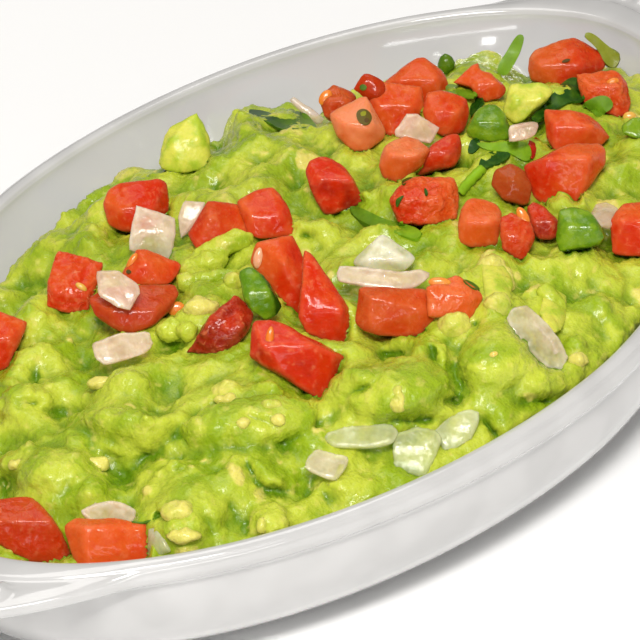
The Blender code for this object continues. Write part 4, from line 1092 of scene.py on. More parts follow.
lobes = (  # x, y, height of the middle over the surface, half-length, half-width, half-height, turn
    (-29, -39, 0.0, 9.0, 7.0, 5.0, -20), (-12, -47, 0.0, 8.5, 6.0, 4.5, 10),
    (-68, 3, 0.0, 6.5, 6.5, 4.2, 0), (-66, -23, -0.5, 9.0, 6.0, 4.0, 20),
    (-47, -22, -0.5, 11.0, 5.0, 3.5, -50), (-56, -4, -0.5, 4.5, 9.0, 3.5, 5),
    (-55, 18, 0.0, 4.5, 4.5, 3.0, 0), (-27, 2, 0.0, 5.0, 4.0, 3.0, -30), (-3, -40, 0.0, 5.5, 5.0, 3.5, 0),
)
mashGrain = {"soft": (0.45, 2.4, 0), "creased": (0.5, 1.5, 7), "fine": (0.25, 0.9, 3)}  # height, size, shift
foldGrain = (0.5, 2.4, 0), (0.3, 1.2, 7), (0.12, 0.7, 3)  # height, size, shift
lumpLayers = {  # how many to a square metre, radius range in millimetres, bias to small ones, share sunk
    "broad": {"density": 3200, "least": 3.2, "most": 6.5, "bias": 1.6, "sink": 0.72, "seed": 3},
    "middling": {"density": 22000, "least": 1.4, "most": 3.2, "bias": 2.0, "sink": 0.68, "seed": 17},
    "small": {"density": 90000, "least": 0.6, "most": 1.5, "bias": 2.2, "sink": 0.5, "seed": 29},
}


touches = (  # right, up, half-length, half-width, turn, push towards the viewer: grooves, hollows and swells
    (-47.5, -17.8, 2.2, 0.9, 0, -3), (-28, -27.5, 7, 1.4, 42, -3), (-31, -18.5, 12, 2.8, -3, 2.5),
    (-33, -24, 10, 1.6, -22, -2), (-43, -28, 7, 4, 0, 2.5), (-51, -31.5, 2, 2.5, 0, -4),
    (-25.5, -36.6, 0.8, 0.8, 0, -4), (-10, -29.5, 4.5, 1.2, -60, -3), (-6, -32.3, 2.5, 1, 0, -3),
    (-5, -29, 4.5, 3.2, 0, 2), (-17.5, -38, 3, 0.8, -70, -2), (-24.5, -29.6, 4, 0.7, 20, -1.5),
    (-9, -20.5, 3, 0.7, -20, -1.5), (2.5, -34, 3, 2.5, 0, -3), (-46.3, -14.5, 2.5, 0.7, 90, -2),
    (-51.5, -17.5, 1, 2, 0, -2), (-44, -19.3, 3, 0.8, 0, -2), (20.3, -9.8, 2.2, 0.9, -75, -5),
    (12, -9.8, 5, 1, 8, -3), (15.5, -15, 7.5, 5, 0, 3), (16.5, -20.4, 5, 0.8, 0, -3),
    (8, -12, 2.5, 3.5, 0, 1.5), (8.5, -15.2, 2.5, 0.7, 25, -2.5), (23.8, -17.2, 1.8, 0.8, 0, -4),
    (29, -9, 8, 6, 0, 2), (38, -13.5, 5, 3.5, 0, 2), (38.5, -17.3, 3.5, 0.9, 5, -3),
    (33, -19.5, 4, 4, 0, 1.5), (30.2, -22.3, 2.4, 0.6, -50, -4), (27.3, -4.6, 0.8, 0.5, 0, -2),
    (32.5, -3, 0.6, 0.8, 0, -2), (17.5, -25, 7, 3.5, 15, -2.5), (-32, -7.6, 2, 1.2, -30, -3),
    (-0.8, 10.3, 1.2, 0.8, 0, -3), (-34.5, -5, 3, 1.2, -35, -3),
)
drops = (  # right, up, half-length, half-width, turn, how far the far edge lies lower
    (-26, 24.5, 3, 3, 30, 3), (-16, 30, 2.2, 4, 0, 5.5), (-7, 34.5, 6, 3, 10, 2), (0, 35, 4, 5, 0, 5),
    (8, 37, 5, 5, 15, 6.5), (17, 40, 5, 4, 15, 4.5), (21.5, 41.5, 2.5, 3.5, 0, 2), (27, 42.5, 5, 3, 0, 2),
    (36, 42, 3.5, 5, 0, 5.5), (53, 40, 5, 4, 0, 3),
)
folds = (  # right, up, out over the surface, half-sizes the same three ways, turn, tone
    (-15.5, 8.3, 0.6, 5.5, 1.9, 1.8, 18, 0.6), (-12.3, 9.6, 0.6, 2.5, 1.8, 1.8, 0, 0.5),
    (-18, 5.5, 0.3, 4.5, 2.2, 2, 20, 0.5), (-16, 3.2, 0.6, 5.5, 1.7, 1.8, 5, 0.6),
    (-20.5, 2.5, 0.4, 2.5, 2, 2, 0, 0.5), (-13, 2.8, 0.6, 2, 1.8, 1.6, 0, 0.7),
    (-18.6, -1.6, 0.8, 3.2, 1.9, 1.8, 8, 1), (-23.5, -5.5, 0.3, 2.8, 2.2, 2, 0, 0.4),
    (-20.8, -5.5, 0.3, 2, 1.8, 1.6, 0, 0.4), (30.2, 5.3, 0, 2.4, 2.2, 2, 0, 0.9),
    (32, 2.2, 0, 2.2, 3, 2, 0, 0.95), (31.2, -1.5, 0, 2.2, 2.5, 2, 0, 0.8),
    (40.4, -1.3, 0, 2.2, 4, 2, 25, 0.2), (24, -4.7, 0.4, 3, 2.6, 2, 0, 0.8),
    (-22.5, -36, 0, 2.8, 2.2, 2, 0, 0.85), (-21.5, -40, 0, 3, 1.4, 1.5, 0, 0.9),
    (-36, -28, -0.2, 2.2, 1.5, 1.2, 0, 1), (-14, -17.3, -0.2, 2.8, 1.2, 1.2, 0, 1),
    (-11.5, -21, 0, 1.4, 1, 1, 0, 0.95), (-35, -14.5, -0.2, 3, 1.2, 1.2, 0, 0.95),
    (-7, -18.2, -0.2, 2.2, 1.2, 1.2, 0, 0.8), (-5.8, -20.5, 0, 1.4, 1.2, 1.2, 0, 0.9),
    (-49.5, -28, -0.2, 1.8, 1.3, 1.2, 0, 0.9), (-8.2, -38.5, 0, 1.2, 1.5, 1.2, 0, 0.8),
    (44.5, -10.5, 0, 2, 1.5, 1.2, 0, 1), (14.5, -17, -0.2, 1.4, 2.5, 1.2, 0, 0.9),
    (-22.6, -2, 0.5, 1.4, 1.2, 1.2, 0, 1),
)


def edgeHeight(x, y):  # where the guacamole meets the wall
    size = mashSizes
    back = y / dishSizes["halfWidth"]
    rise = size["farRise"] * x / dishSizes["halfLength"] * np.maximum(back, 0)
    return size["rimTop"] - size["edgeDrop"] - size["nearDrop"] * back + rise


def softSpots(x, y, rows):  # the sum of these soft swells and hollows at each point
    found = np.zeros(len(x))
    for px, py, halfLong, halfWide, turned, height in rows:
        turn = math.radians(turned)
        along = ((x - px) * math.cos(turn) + (y - py) * math.sin(turn)) / halfLong
        aside = ((y - py) * math.cos(turn) - (x - px) * math.sin(turn)) / halfWide
        found += height * np.exp(-along ** 2 - aside ** 2)
    return found


def mashHeight(x, y, spread):  # the surface's height in millimetres, x and y in millimetres too
    size = mashSizes
    fade = 1 - np.clip(spread, 0, 1) ** size["domePower"]
    crown = size["rimTop"] + size["crown"] - size["crownNear"] * y / dishSizes["halfWidth"]
    edge = edgeHeight(x, y)
    relief = softSpots(x, y, swells)
    flat = np.stack([x, y, np.zeros_like(x)], 1) * mm
    relief += noiseAt(flat, size["unevenSize"] * mm) * size["unevenDepth"]
    return edge + (crown - edge) * fade + relief * np.minimum(fade * 3, 1)


def treeOf(pieces):  # a search tree over these pieces' surfaces
    points, faces = [], []
    for piece in pieces:
        start = len(points)
        points += [point.co.copy() for point in piece.data.vertices]
        faces += [[start + index for index in face.vertices] for face in piece.data.polygons]
    return BVHTree.FromPolygons(points, faces)


def signedAway(tree, points):  # distance to the nearest surface in the tree, below 0 inside
    away = []
    for point in map(Vector, points.tolist()):
        spot, normal, _, far = tree.find_nearest(point)
        away.append(-far if (point - spot).dot(normal) < 0 else far)
    return np.array(away)


def mashNet():  # a closed form: a flat bottom, the side against the wall and the uneven top
    size = mashSizes
    turns = np.arange(size["around"]) * 2 * math.pi / size["around"]
    edge = edgeHeight(*ovalPoint(turns, 0))
    low = size["skirtTop"] - 2.5
    rings = []
    for share in np.linspace(0, 1, size["sideRings"]):
        height = low + (edge - low) * share
        rings.append((*ovalPoint(turns, innerWallOut(height) - size["wallGap"] - size["sink"]), height))
    rimX, rimY = rings[-1][:2]
    for step in range(1, size["rings"]):
        inward = 1 - step / size["rings"]
        x, y = rimX * inward, rimY * inward
        rings.append((x, y, mashHeight(x, y, ovalSpread(x, y, 0)) - size["sink"]))
    points = np.concatenate([np.stack(ring, 1) for ring in rings]) * mm
    around = size["around"]
    mesh = meshOf("guacamole", points, ringFaces(len(rings), around) + endFaces(len(rings), around))
    writeMask(mesh, "top", points[:, 2] > (size["skirtTop"] + 2) * mm)
    writeMask(mesh, "room", signedAway(treeOf(toppingPieces), points) / mm)
    return mesh


def lumpForm():  # three layers of soft lumps over the surface, joined to it
    inputs = {}
    for label, layer in lumpLayers.items():
        for setting in ("density", "least", "most"):
            inputs[f"{label} {setting}"] = ("Float", layer[setting])
    inputs["Mash"] = ("Material", None)
    board, given = newForm("Mash Lumps", inputs)

    def chance(seed, low=0.0, high=1.0, kind="FLOAT"):
        made = board.add("FunctionNodeRandomValue", {"data_type": kind})
        node = made.socket.node
        first, last = (0, 1) if kind == "FLOAT_VECTOR" else (2, 3)
        node.inputs[first].default_value = low
        node.inputs[last].default_value = high
        node.inputs["Seed"].default_value = seed
        return Wire(board, node.outputs[0 if kind == "FLOAT_VECTOR" else 1])

    room = board.add("GeometryNodeInputNamedAttribute", {"data_type": "FLOAT"}, {"Name": "room"})
    top = board.add("GeometryNodeInputNamedAttribute", {"data_type": "FLOAT"}, {"Name": "top"})
    join = board.tree.nodes.new("GeometryNodeJoinGeometry")
    board.feed(given["Geometry"], join.inputs["Geometry"])
    for label, layer in lumpLayers.items():
        spread = board.add("GeometryNodeDistributePointsOnFaces", None, {
            "Mesh": given["Geometry"], "Selection": top, "Density": given[f"{label} density"],
            "Seed": layer["seed"],
        })
        normal = Wire(board, spread.socket.node.outputs["Normal"])
        wish = chance(layer["seed"] + 1) ** layer["bias"]
        least, most = given[f"{label} least"], given[f"{label} most"]
        radius = board.maths("MINIMUM", least + wish * (most - least), room + 0.35)
        sunk = board.add("ShaderNodeVectorMath", {"operation": "SCALE"}, {
            0: normal, "Scale": radius * (-layer["sink"] * mm)})
        moved = board.add("GeometryNodeSetPosition", None, {"Geometry": spread, "Offset": sunk})
        fineness = 3 if label == "broad" else 2
        ball = board.add("GeometryNodeMeshIcoSphere", None, {"Radius": mm, "Subdivisions": fineness})
        stretch = chance(layer["seed"] + 2, (0.75, 0.75, 0.6), (1.45, 1.2, 0.95), "FLOAT_VECTOR")
        scale = board.add("ShaderNodeVectorMath", {"operation": "SCALE"}, {0: stretch, "Scale": radius})
        turned = chance(layer["seed"] + 3, (-3.14, -3.14, -3.14), (3.14, 3.14, 3.14), "FLOAT_VECTOR")
        enough = board.maths("GREATER_THAN", radius, least * 0.6)
        copies = board.add("GeometryNodeInstanceOnPoints", None, {
            "Points": moved, "Selection": enough, "Instance": ball, "Rotation": turned, "Scale": scale})
        toned = board.add("GeometryNodeStoreNamedAttribute", {"data_type": "FLOAT", "domain": "INSTANCE"}, {
            "Geometry": copies, "Name": "tone", "Value": chance(layer["seed"] + 4, 0.02, 1.0)})
        board.feed(toned, join.inputs["Geometry"])
    return endForm(board, Wire(board, join.outputs[0]), given["Mash"])


def eggOf(matrix, subdivisions):
    bm = bmesh.new()
    bmesh.ops.create_icosphere(bm, subdivisions=subdivisions, radius=1)
    bm.transform(matrix)
    return meshFrom(bm, "egg")


def lobeOf(x, y, z, halves, turn):  # one lobe of the mash
    place = Matrix.Translation((x * mm, y * mm, z * mm)) @ Matrix.Rotation(math.radians(turn), 4, "Z")
    mesh = eggOf(place @ Matrix.Diagonal((*[half * mm for half in halves], 1)), 4)
    writeMask(mesh, "tone", 0.5)
    return mesh


def joinMeshes(base, others):
    bm = bmesh.new()
    for mesh in (base, *others):
        bm.from_mesh(mesh)
    bm.to_mesh(base)
    bm.free()


def toneOf(mesh, points):  # the tone of the nearest lump
    tones = np.zeros(len(mesh.vertices), np.float32)
    mesh.attributes["tone"].data.foreach_get("value", tones)
    corners = [list(face.vertices) for face in mesh.polygons]
    tree = BVHTree.FromPolygons([point.co for point in mesh.vertices], corners)
    found = []
    for point in map(Vector, points.tolist()):
        index = tree.find_nearest(point)[2]
        found.append(tones[corners[index][0]])
    return np.array(found)


def insideWall(points):  # keeps every point clear of the dish
    size = mashSizes
    flat = points / mm
    out = innerWallOut(np.minimum(flat[:, 2], dishSizes["wallTop"])) - size["wallGap"]
    spread = ovalSpread(flat[:, 0], flat[:, 1], out)
    pull = np.where(spread > 1, 1 / np.maximum(spread, 1e-6), 1.0)
    flat[:, :2] *= pull[:, None]
    return flat * mm


def addSkirt(piece):  # cuts the flat bottom away and carries the edge down along the wall to the floor
    size = mashSizes
    bm = bmesh.new()
    bm.from_mesh(piece.data)
    everything = bm.verts[:] + bm.edges[:] + bm.faces[:]
    bmesh.ops.bisect_plane(bm, geom=everything, plane_co=(0, 0, size["skirtTop"] * mm), plane_no=(0, 0, -1),
                           clear_outer=True)
    loop = [edge for edge in bm.edges if edge.is_boundary]
    for height in (*size["skirtSteps"], size["floor"]):
        made = bmesh.ops.extrude_edge_only(bm, edges=loop)["geom"]
        loop = [item for item in made if isinstance(item, bmesh.types.BMEdge) and item.is_boundary]
        for point in {end for edge in loop for end in edge.verts}:
            point.co.z = height * mm
            here = point.co / mm
            out = float(innerWallOut(np.array(height))) - size["wallGap"] - 0.2
            spread = float(ovalSpread(here.x, here.y, out))
            if spread > 1:
                point.co.x /= spread
                point.co.y /= spread
    bmesh.ops.holes_fill(bm, edges=loop)
    bmesh.ops.recalc_face_normals(bm, faces=bm.faces)
    bm.to_mesh(piece.data)
    bm.free()


def touched(points, rows):  # the sum of the soft spots that the viewer sees at each point
    return np.where(points[:, 2] > mashSizes["touchedFrom"] * mm, softSpots(*seenPlace(points).T, rows), 0)


def clearSight(points, edges, tree):  # what would hide a topping sinks to just inside it
    eye = np.array(viewSettings["place"])
    lines = points - eye
    lines /= np.linalg.norm(lines, axis=1)[:, None]
    sunk = np.zeros(len(points))
    for row, (point, line) in enumerate(zip(points.tolist(), lines.tolist())):
        spot, normal, _, far = tree.ray_cast(Vector(point), Vector(line), mashSizes["sightReach"] * mm)
        if spot and normal.dot(Vector(line)) < 0:
            sunk[row] = far + mashSizes["sightDepth"] * mm
    spread = sunk.copy()
    for _ in range(mashSizes["sightSlope"]):  # the nearest ground slopes down to it
        spread = np.maximum(sunk, relaxed(spread, edges, 1))
    return points + lines * spread[:, None]


def seenEgg(spot, halves, turned):  # an egg at this point, turned in the plane that faces the viewer
    turn = math.radians(turned)
    along = seenRight * math.cos(turn) + seenUp * math.sin(turn)
    over = seenUp * math.cos(turn) - seenRight * math.sin(turn)
    frameMatrix = Matrix([along * halves[0], over * halves[1], seenOut * halves[2]]).transposed()
    return eggOf(Matrix.Translation(Vector(spot)) @ (frameMatrix * mm).to_4x4(), 3)


def makeFolds():  # the folds and paler lumps that lie over the toppings and the guacamole
    tree = treeOf([bpy.data.objects["mashedAvocado"], *toppingPieces])
    made = []
    for right, up, out, *halves, turned, tone in folds:
        spot = landing(tree, right, up) + seenOut * (out - halves[2] * mashSizes["foldSink"]) * mm
        mesh = seenEgg(spot, halves, turned)
        writeMask(mesh, "tone", tone)
        made.append(mesh)
    piece = newPiece("mashFolds", made[0].copy())
    joinMeshes(piece.data, made[1:])
    lumps = piece.data.copy()
    voxelled(piece, mashSizes["foldCell"])
    mesh = piece.data
    edges = edgesOf(mesh)
    points = relaxed(pointsOf(mesh), edges, mashSizes["foldRounds"])
    tone = relaxed(toneOf(lumps, points), edges, 3)
    movePoints(mesh, points)
    roughen(mesh, *foldGrain)
    writeMask(mesh, "tone", tone)
    writeMask(mesh, "rise", mashSizes["foldRise"])
    paintOver(mesh, finishes["mash"])
    hideSeams(piece)
    finishPiece(piece, "mashed_avocado")
    print("folds made")


def makeMash():
    piece = newPiece("mashedAvocado", mashNet())
    growForm(piece, lumpForm(), {"Mash": finishes["mash"]})
    extra = []
    for x, y, rise, halfLong, halfWide, halfTall, turn in lobes:
        spot = np.array([[x, y]], float).T
        ground = float(mashHeight(*spot, ovalSpread(*spot, 0))[0])
        extra.append(lobeOf(x, y, ground + rise - halfTall * 0.6, (halfLong, halfWide, halfTall), turn))
    joinMeshes(piece.data, extra)
    lumps = piece.data.copy()
    print("lumps placed,", len(lumps.polygons), "faces")
    voxelled(piece, mashSizes["cell"])
    mesh = piece.data
    edges = edgesOf(mesh)
    points = relaxed(pointsOf(mesh), edges, 3)
    tone = relaxed(toneOf(lumps, points), edges, 2)
    bpy.data.meshes.remove(lumps)
    points[:, 2] -= touched(points, drops) * mm
    points += seenOut * (touched(points, touches) * mm)[:, None]
    points = relaxed(points, edges, 1)
    movePoints(mesh, points)
    normals = normalsOf(mesh)
    grain = {}
    for label, (height, size, shift) in mashGrain.items():
        grain[label] = noiseAt(points, size * mm, shift) * height
    rough = grain["soft"] + np.abs(grain["creased"]) + grain["fine"]
    points += normals * (rough * mm)[:, None]
    points = clearSight(points, edges, treeOf(toppingPieces))
    points = insideWall(points)
    movePoints(mesh, points)
    # rise: how far each point stands out of its smoothed surroundings; the mash finish paints shade into the
    # hollows where it is low
    calm = relaxed(points, edges, mashSizes["calmRounds"])
    rise = 0.5 + ((points - calm) * normalsOf(mesh)).sum(1) / (mashSizes["riseHeight"] * mm)
    writeMask(mesh, "tone", tone)
    writeMask(mesh, "rise", relaxed(rise, edges, 1))
    addSkirt(piece)
    paintOver(piece.data, finishes["mash"])
    hideSeams(piece)
    finishPiece(piece, "mashed_avocado", "guacamole")
    print("guacamole made,", sum(len(face.vertices) - 2 for face in piece.data.polygons), "triangles")


leafLooks = {  # light: 0 dark, 1 bright; fade: where it brightens, how much; stand: upright from this place
    "herbLeafFarLeft": {"light": 0.2, "fade": ("right", 0.5), "outline": (
        (-10.8, 31.7), (-9.3, 31.6), (-8, 31.4), (-6.4, 30.9), (-5, 30.4), (-4, 31.2), (-2.5, 31.4),
        (-1, 31), (0, 30), (1.2, 28.3), (-0.6, 28.7), (-2, 28.3), (-4, 28.4), (-5.5, 28.4), (-7, 29.4),
        (-8.5, 29.9), (-9, 29.1), (-10.2, 28.5), (-10, 30))},
    "herbBlade": {"light": 0.65, "stand": (31.3, 37.8), "outline": (
        (31, 37.6), (32.6, 37.2), (33.4, 38.2), (34.6, 40.2), (35.5, 42.6), (35.7, 44), (34.7, 44.3),
        (33.7, 43.1), (32.6, 41.1), (31.4, 39.4))},
    "herbLeafDeep": {"light": 0.05, "outline": (
        (36.6, 30), (37.6, 31.2), (39, 32.3), (40.4, 34.3), (41.6, 35.7), (43, 36.8), (44.2, 37.1),
        (45.4, 36.5), (45.8, 34.2), (45.3, 33), (43.6, 33), (42, 32.2), (40.4, 31.4), (39, 30.4),
        (38, 29.7))},
    "herbStripRight": {"light": 0.5, "outline": (
        (45.3, 32.5), (47, 33.5), (48.5, 34), (49.8, 33.8), (50.7, 32.6), (50.3, 31.6), (49, 30.9),
        (48.3, 29.8), (47.4, 31), (46.2, 31.8))},
    "herbLeafLower": {"light": 0.0, "outline": (
        (28.1, 23), (28, 21.4), (28.6, 20.7), (29.3, 21.9), (30.5, 22.3), (31.8, 22.7), (32.8, 23.4),
        (33.6, 24.2), (32, 24.8), (30, 24.6), (29, 24))},
    "herbLeafUpper": {"light": 0.75, "outline": (
        (27.4, 26), (28.5, 25.2), (30, 24.7), (32, 24.6), (33.5, 24.3), (35, 23.2), (36.5, 22.9),
        (37, 24.4), (36.4, 25.9), (35, 26.3), (33, 26.4), (31, 26), (29, 26.1))},
    "herbStripFront": {"light": 0.55, "fade": ("right", 0.6), "thick": 1.1, "outline": (
        (6.2, 15.4), (7.6, 15.4), (9.6, 14.5), (12, 13.3), (14, 12.8), (16, 12.3), (18, 11.6), (18.5, 10.5),
        (17.2, 9.8), (15.5, 10.4), (13.5, 11.1), (12, 11.2), (10, 12.1), (8, 13.1), (6.8, 14.1))},
    "herbBitTop": {"light": 0.6, "outline": (
        (22.3, 35.1), (23.4, 34.1), (25, 33.9), (27.7, 33.7), (27.6, 34.5), (26, 35.3), (24.4, 35.8),
        (22.8, 35.9))},
    "herbBitFar": {"light": 0.3, "olive": 0.7, "stand": (47.2, 40.4), "lift": -1.2, "thick": 1.0, "outline": (
        (50.4, 38.4), (49, 39.6), (48.4, 41), (47.4, 42.3), (45.9, 43.6), (45.8, 44.4), (46.6, 44.6),
        (47.8, 44), (49.1, 42.8), (50.6, 41.6), (51.8, 40.6), (51.4, 39.1))},
    # painted shade: a dark sheet in the leaf finish laid in the dark gap beside tomato_26
    "herbBitShade": {"light": 0.0, "outline": (
        (26.5, 30.6), (26.7, 33.7), (28, 33.6), (29, 33), (28, 32), (27, 30.5))},
    # painted shadow: a dark sheet in the leaf finish laid under pepper_02
    "herbBitUnder": {"light": 0.0, "outline": (
        (26, 24.4), (26.8, 27), (28.4, 26.2), (28.1, 25.2), (27, 24.2))},
    "herbSliver": {"light": 0.1, "outline": (
        (25.3, 3.1), (26, 3.1), (27.3, 2.5), (28.3, 1.6), (28, 1.2), (27, 1.7), (25.9, 2.5))},
    "herbSpeck": {"light": 0.2, "outline": (
        (8.1, 35.6), (8.7, 35.9), (9.3, 35.5), (9.1, 34.9), (8.5, 34.7), (8, 35.1))},
    "herbFleckOne": {"light": 0.0, "thick": 0.2, "outline": (
        (18.9, 18.5), (19.3, 18.3), (19.6, 17.4), (19.2, 17.1), (18.9, 17.8))},
    "herbFleckTwo": {"light": 0.0, "thick": 0.2, "outline": (
        (14, 16.4), (14.8, 17), (15.6, 17.3), (15, 16.5), (14.6, 15.6), (14.2, 15))},
    # partly painted shade: a dark olive-brown patch laid in tomato_30's hollow, with the colour of herb
    # flecks
    "herbHollow": {"light": 0.2, "olive": 0.55, "brown": 0.75, "lift": 0.25, "thick": 0.25, "outline": (
        (7.4, 30.9), (7.9, 31.6), (8.9, 31.8), (9.9, 31.1), (10.2, 30), (9.6, 29.1), (8.6, 29),
        (7.7, 29.8))},
    "herbHollowFleck": {"light": 0.5, "olive": 0.9, "lift": 0.45, "thick": 0.3, "outline": (
        (8.1, 31.2), (9.2, 31.4), (9.1, 30.6), (8.3, 30.4))},
    "herbHollowSpeck": {"light": -0.3, "brown": 0.9, "lift": 0.45, "thick": 0.3, "outline": (
        (8.7, 30), (9.5, 30.3), (9.8, 29.6), (9, 29.3))},
    "herbFleckFour": {"light": 0.0, "brown": 0.7, "thick": 0.2, "outline": (
        (-31.3, 4.4), (-30.8, 4.9), (-30.2, 4.4), (-30.8, 4))},
    "herbFleckFive": {"light": 0.0, "brown": 0.8, "thick": 0.2, "outline": (
        (41.8, 39.5), (42.5, 40.1), (43.6, 40.1), (42.8, 39.5))},
    "herbFleckThree": {"light": 0.0, "thick": 0.2, "outline": (
        (15, 19.6), (16, 20.2), (17.2, 20.3), (16, 19.6), (15.2, 18.9))},
}
stemSides = 12
stemLooks = {  # points right and up, radius in millimetres
    "stemPale": {"radius": 1.15, "light": 1.1, "points": (
        (24.9, 17.6), (26, 19), (27.3, 20.4), (28.9, 21.9))},
    "stemThin": {"radius": 0.22, "light": 0.3, "points": (
        (-30.2, -37.6), (-28.6, -37.8), (-27, -37.4), (-25.7, -36.7))},
}
seedSizes = {"sink": 0.15, "halfThick": 0.5}  # millimetres
seedLooks = (  # right, up, half-length, half-width, turn, tone: 0 orange, 0.5 yellow, 1 pale pink
    (35.5, 13.6, 1.8, 0.9, -62, 0.1), (-8.9, 6.7, 1.8, 0.9, 80, 1.0), (-7.1, -7, 2.2, 0.7, 82, 0.0),
    (-38.7, 1.8, 1.1, 0.6, -35, 0.3), (-30.2, 6, 1.7, 0.7, 62, 0.1), (21.5, 2.6, 1.9, 0.85, -4, 0.15),
    (2.3, 33.6, 1.5, 1.0, 55, 0.1), (-22.7, -1.9, 1.5, 1.3, 10, 0.1), (53.4, 30.3, 1.2, 1.0, 0, 0.3),
    (50.5, 36.2, 1.2, 0.7, 20, 0.1), (30.5, -9.5, 0.8, 0.5, 20, 0.6),
)
usualBit = {"thick": 3, "ripe": 0.3, "dull": 0.0, "blush": 0.5, "greenish": 0.0, "stand": 0.3, "lift": 0.3}
bitLooks = {  # small cut bits: kind, then corners right and up, thick in millimetres
    "bitDarkRed": {"kind": "tomato", "ripe": 0.05, "corners": (
        (36.1, 24), (36.4, 26.8), (37.6, 27.1), (38.7, 26.3), (39.6, 25), (38.4, 23.9), (37, 23.1))},
    "bitFarRed": {
        "kind": "tomato", "ripe": 0.2, "dull": 0.4, "stand": (10.2, 32.8), "lift": -0.5, "corners": (
        (6.8, 35), (7.8, 36.6), (8.6, 37.7), (9.6, 37.7), (11, 37), (12.2, 36.2), (12.6, 34), (11.8, 32.2),
        (10, 32.8), (8.4, 33.8))},
    "bitOlive": {"kind": "pepper", "stand": (22.8, 37.5), "corners": (
        (22.8, 37.3), (21.4, 37.9), (21.1, 39), (21.5, 40.5), (22.4, 41.1), (23.6, 40.6), (24.2, 39.5),
        (23.9, 38.3))},
    "bitOnionFar": {"kind": "onion", "blush": 1.0, "thick": 1.2, "stand": (1.2, 29.2), "corners": (
        (-4, 33.3), (-3.1, 34.1), (-2, 33.2), (0.6, 31.5), (2.4, 30), (1.6, 28.7), (0.4, 29.3), (-1, 30.8),
        (-3.2, 32.2))},
    "bitOnionPink": {"kind": "onion", "blush": 0.9, "thick": 2.4, "corners": (
        (46.6, 13.6), (47.4, 15.8), (49.6, 16.2), (51.6, 15), (51.4, 12.4), (49.5, 11.4), (47.6, 12))},
    "bitPaleNear": {"kind": "onion", "blush": 0.3, "greenish": 0.4, "corners": (
        (-27.6, -38.6), (-26, -38.2), (-24.5, -40.5), (-23.4, -42.6), (-25.4, -43.4), (-27.6, -43.6))},
    "bitAvocadoGreen": {"kind": "avocado", "thick": 4, "corners": (
        (39, 1.4), (41, 1.6), (42.8, 0.4), (43, -2), (42.4, -5), (41, -6.2), (39.2, -4.6), (38, -2.4))},
    "bitAvocadoRight": {"kind": "avocado", "thick": 4, "corners": (
        (28.6, 6.6), (31, 7.8), (33, 6.4), (34, 3), (33.4, -0.5), (31.8, -2.6), (29.4, -3), (29, 0),
        (30, 3), (28.4, 5))},
}


def outlineOf(corners, rounds=2):  # cuts the corners off, twice
    line = np.array(corners, float)
    for _ in range(rounds):
        after = np.roll(line, -1, 0)
        line = np.stack([line * 0.75 + after * 0.25, line * 0.25 + after * 0.75], 1).reshape(-1, 2)
    return line


leafCut = {  # millimetres, flex a share
    "cell": 0.6, "thick": 0.4, "flex": 0.7, "lift": 0.5, "wave": 0.45, "waveSize": 2.5, "mostBend": 1.5,
}
bitCut = {  # millimetres, with counts and shares
    "cell": 0.3, "rounding": 5, "raised": 0.5, "front": 0.25, "backScale": 0.8,
    "swell": 0.2, "swellSize": 2.5, "fine": 0.05, "fineSize": 0.9,
}


def sheetNet(line, step):  # triangles that fill an outline
    low, high = line.min(0), line.max(0)
    columns, rows = [np.arange(low[axis] + step / 2, high[axis], step) for axis in (0, 1)]
    grid = [(x, y) for x in columns for y in rows]
    spots = [Vector(point) for point in [*line.tolist(), *grid]]
    places, _, faces, *_ = geometry.delaunay_2d_cdt(spots, [], [list(range(len(line)))], 1, 1e-5)
    return np.array([tuple(place) for place in places]), [tuple(face) for face in faces]


def drape(tree, places, flex, lift):  # lays points on what the viewer sees there, or upright from one place
    spots = np.array([landing(tree, *place) for place in places])
    flat = np.array([sightPoint(*place) for place in places])
    outs = (spots - flat) @ seenOut / mm
    base = np.column_stack([places, np.ones(len(places))])
    plane = base @ np.linalg.lstsq(base, outs, rcond=None)[0]
    if isinstance(flex, tuple):
        outs[:] = (landing(tree, *flex) - sightPoint(*flex)) @ seenOut / mm + lift
    else:
        bend = leafCut["mostBend"]
        outs = plane + np.clip((outs - plane) * flex, -bend, bend) + lift
    lines = np.array(viewSettings["place"]) - flat
    lines /= (lines @ seenOut)[:, None]
    over = (flat + lines * (outs * mm)[:, None])[:, 2].max() / mm - shownTop
    return flat + lines * ((outs - max(over, 0) / seenOut[2]) * mm)[:, None]


def makeLeaves(tree):
    for count, (name, look) in enumerate(leafLooks.items()):
        places, faces = sheetNet(outlineOf(look["outline"]), leafCut["cell"])
        points = drape(tree, places, look.get("stand", leafCut["flex"]), look.get("lift", leafCut["lift"]))
        points += seenOut * (noiseAt(points, leafCut["waveSize"] * mm, count) * leafCut["wave"] * mm)[:, None]
        piece = newPiece(name, meshOf(name, points, faces))
        thick = piece.modifiers.new("thickness", "SOLIDIFY")
        thick.thickness = look.get("thick", leafCut["thick"]) * mm
        thick.offset = -1
        settle(piece)
        mesh = piece.data
        faceOutwards(mesh)
        way, share = look.get("fade", ("right", 0.0))
        writeMask(mesh, "lightness", look["light"] + (across(mesh, directions[way]) - 0.5) * share)
        for label in ("olive", "brown"):
            writeMask(mesh, label, look.get(label, 0.0))
        paintOver(mesh, finishes["leaf"])
        hideSeams(piece, 50)
        finishPiece(piece, "coriander_leaf")
    print(len(leafLooks), "herb pieces made")


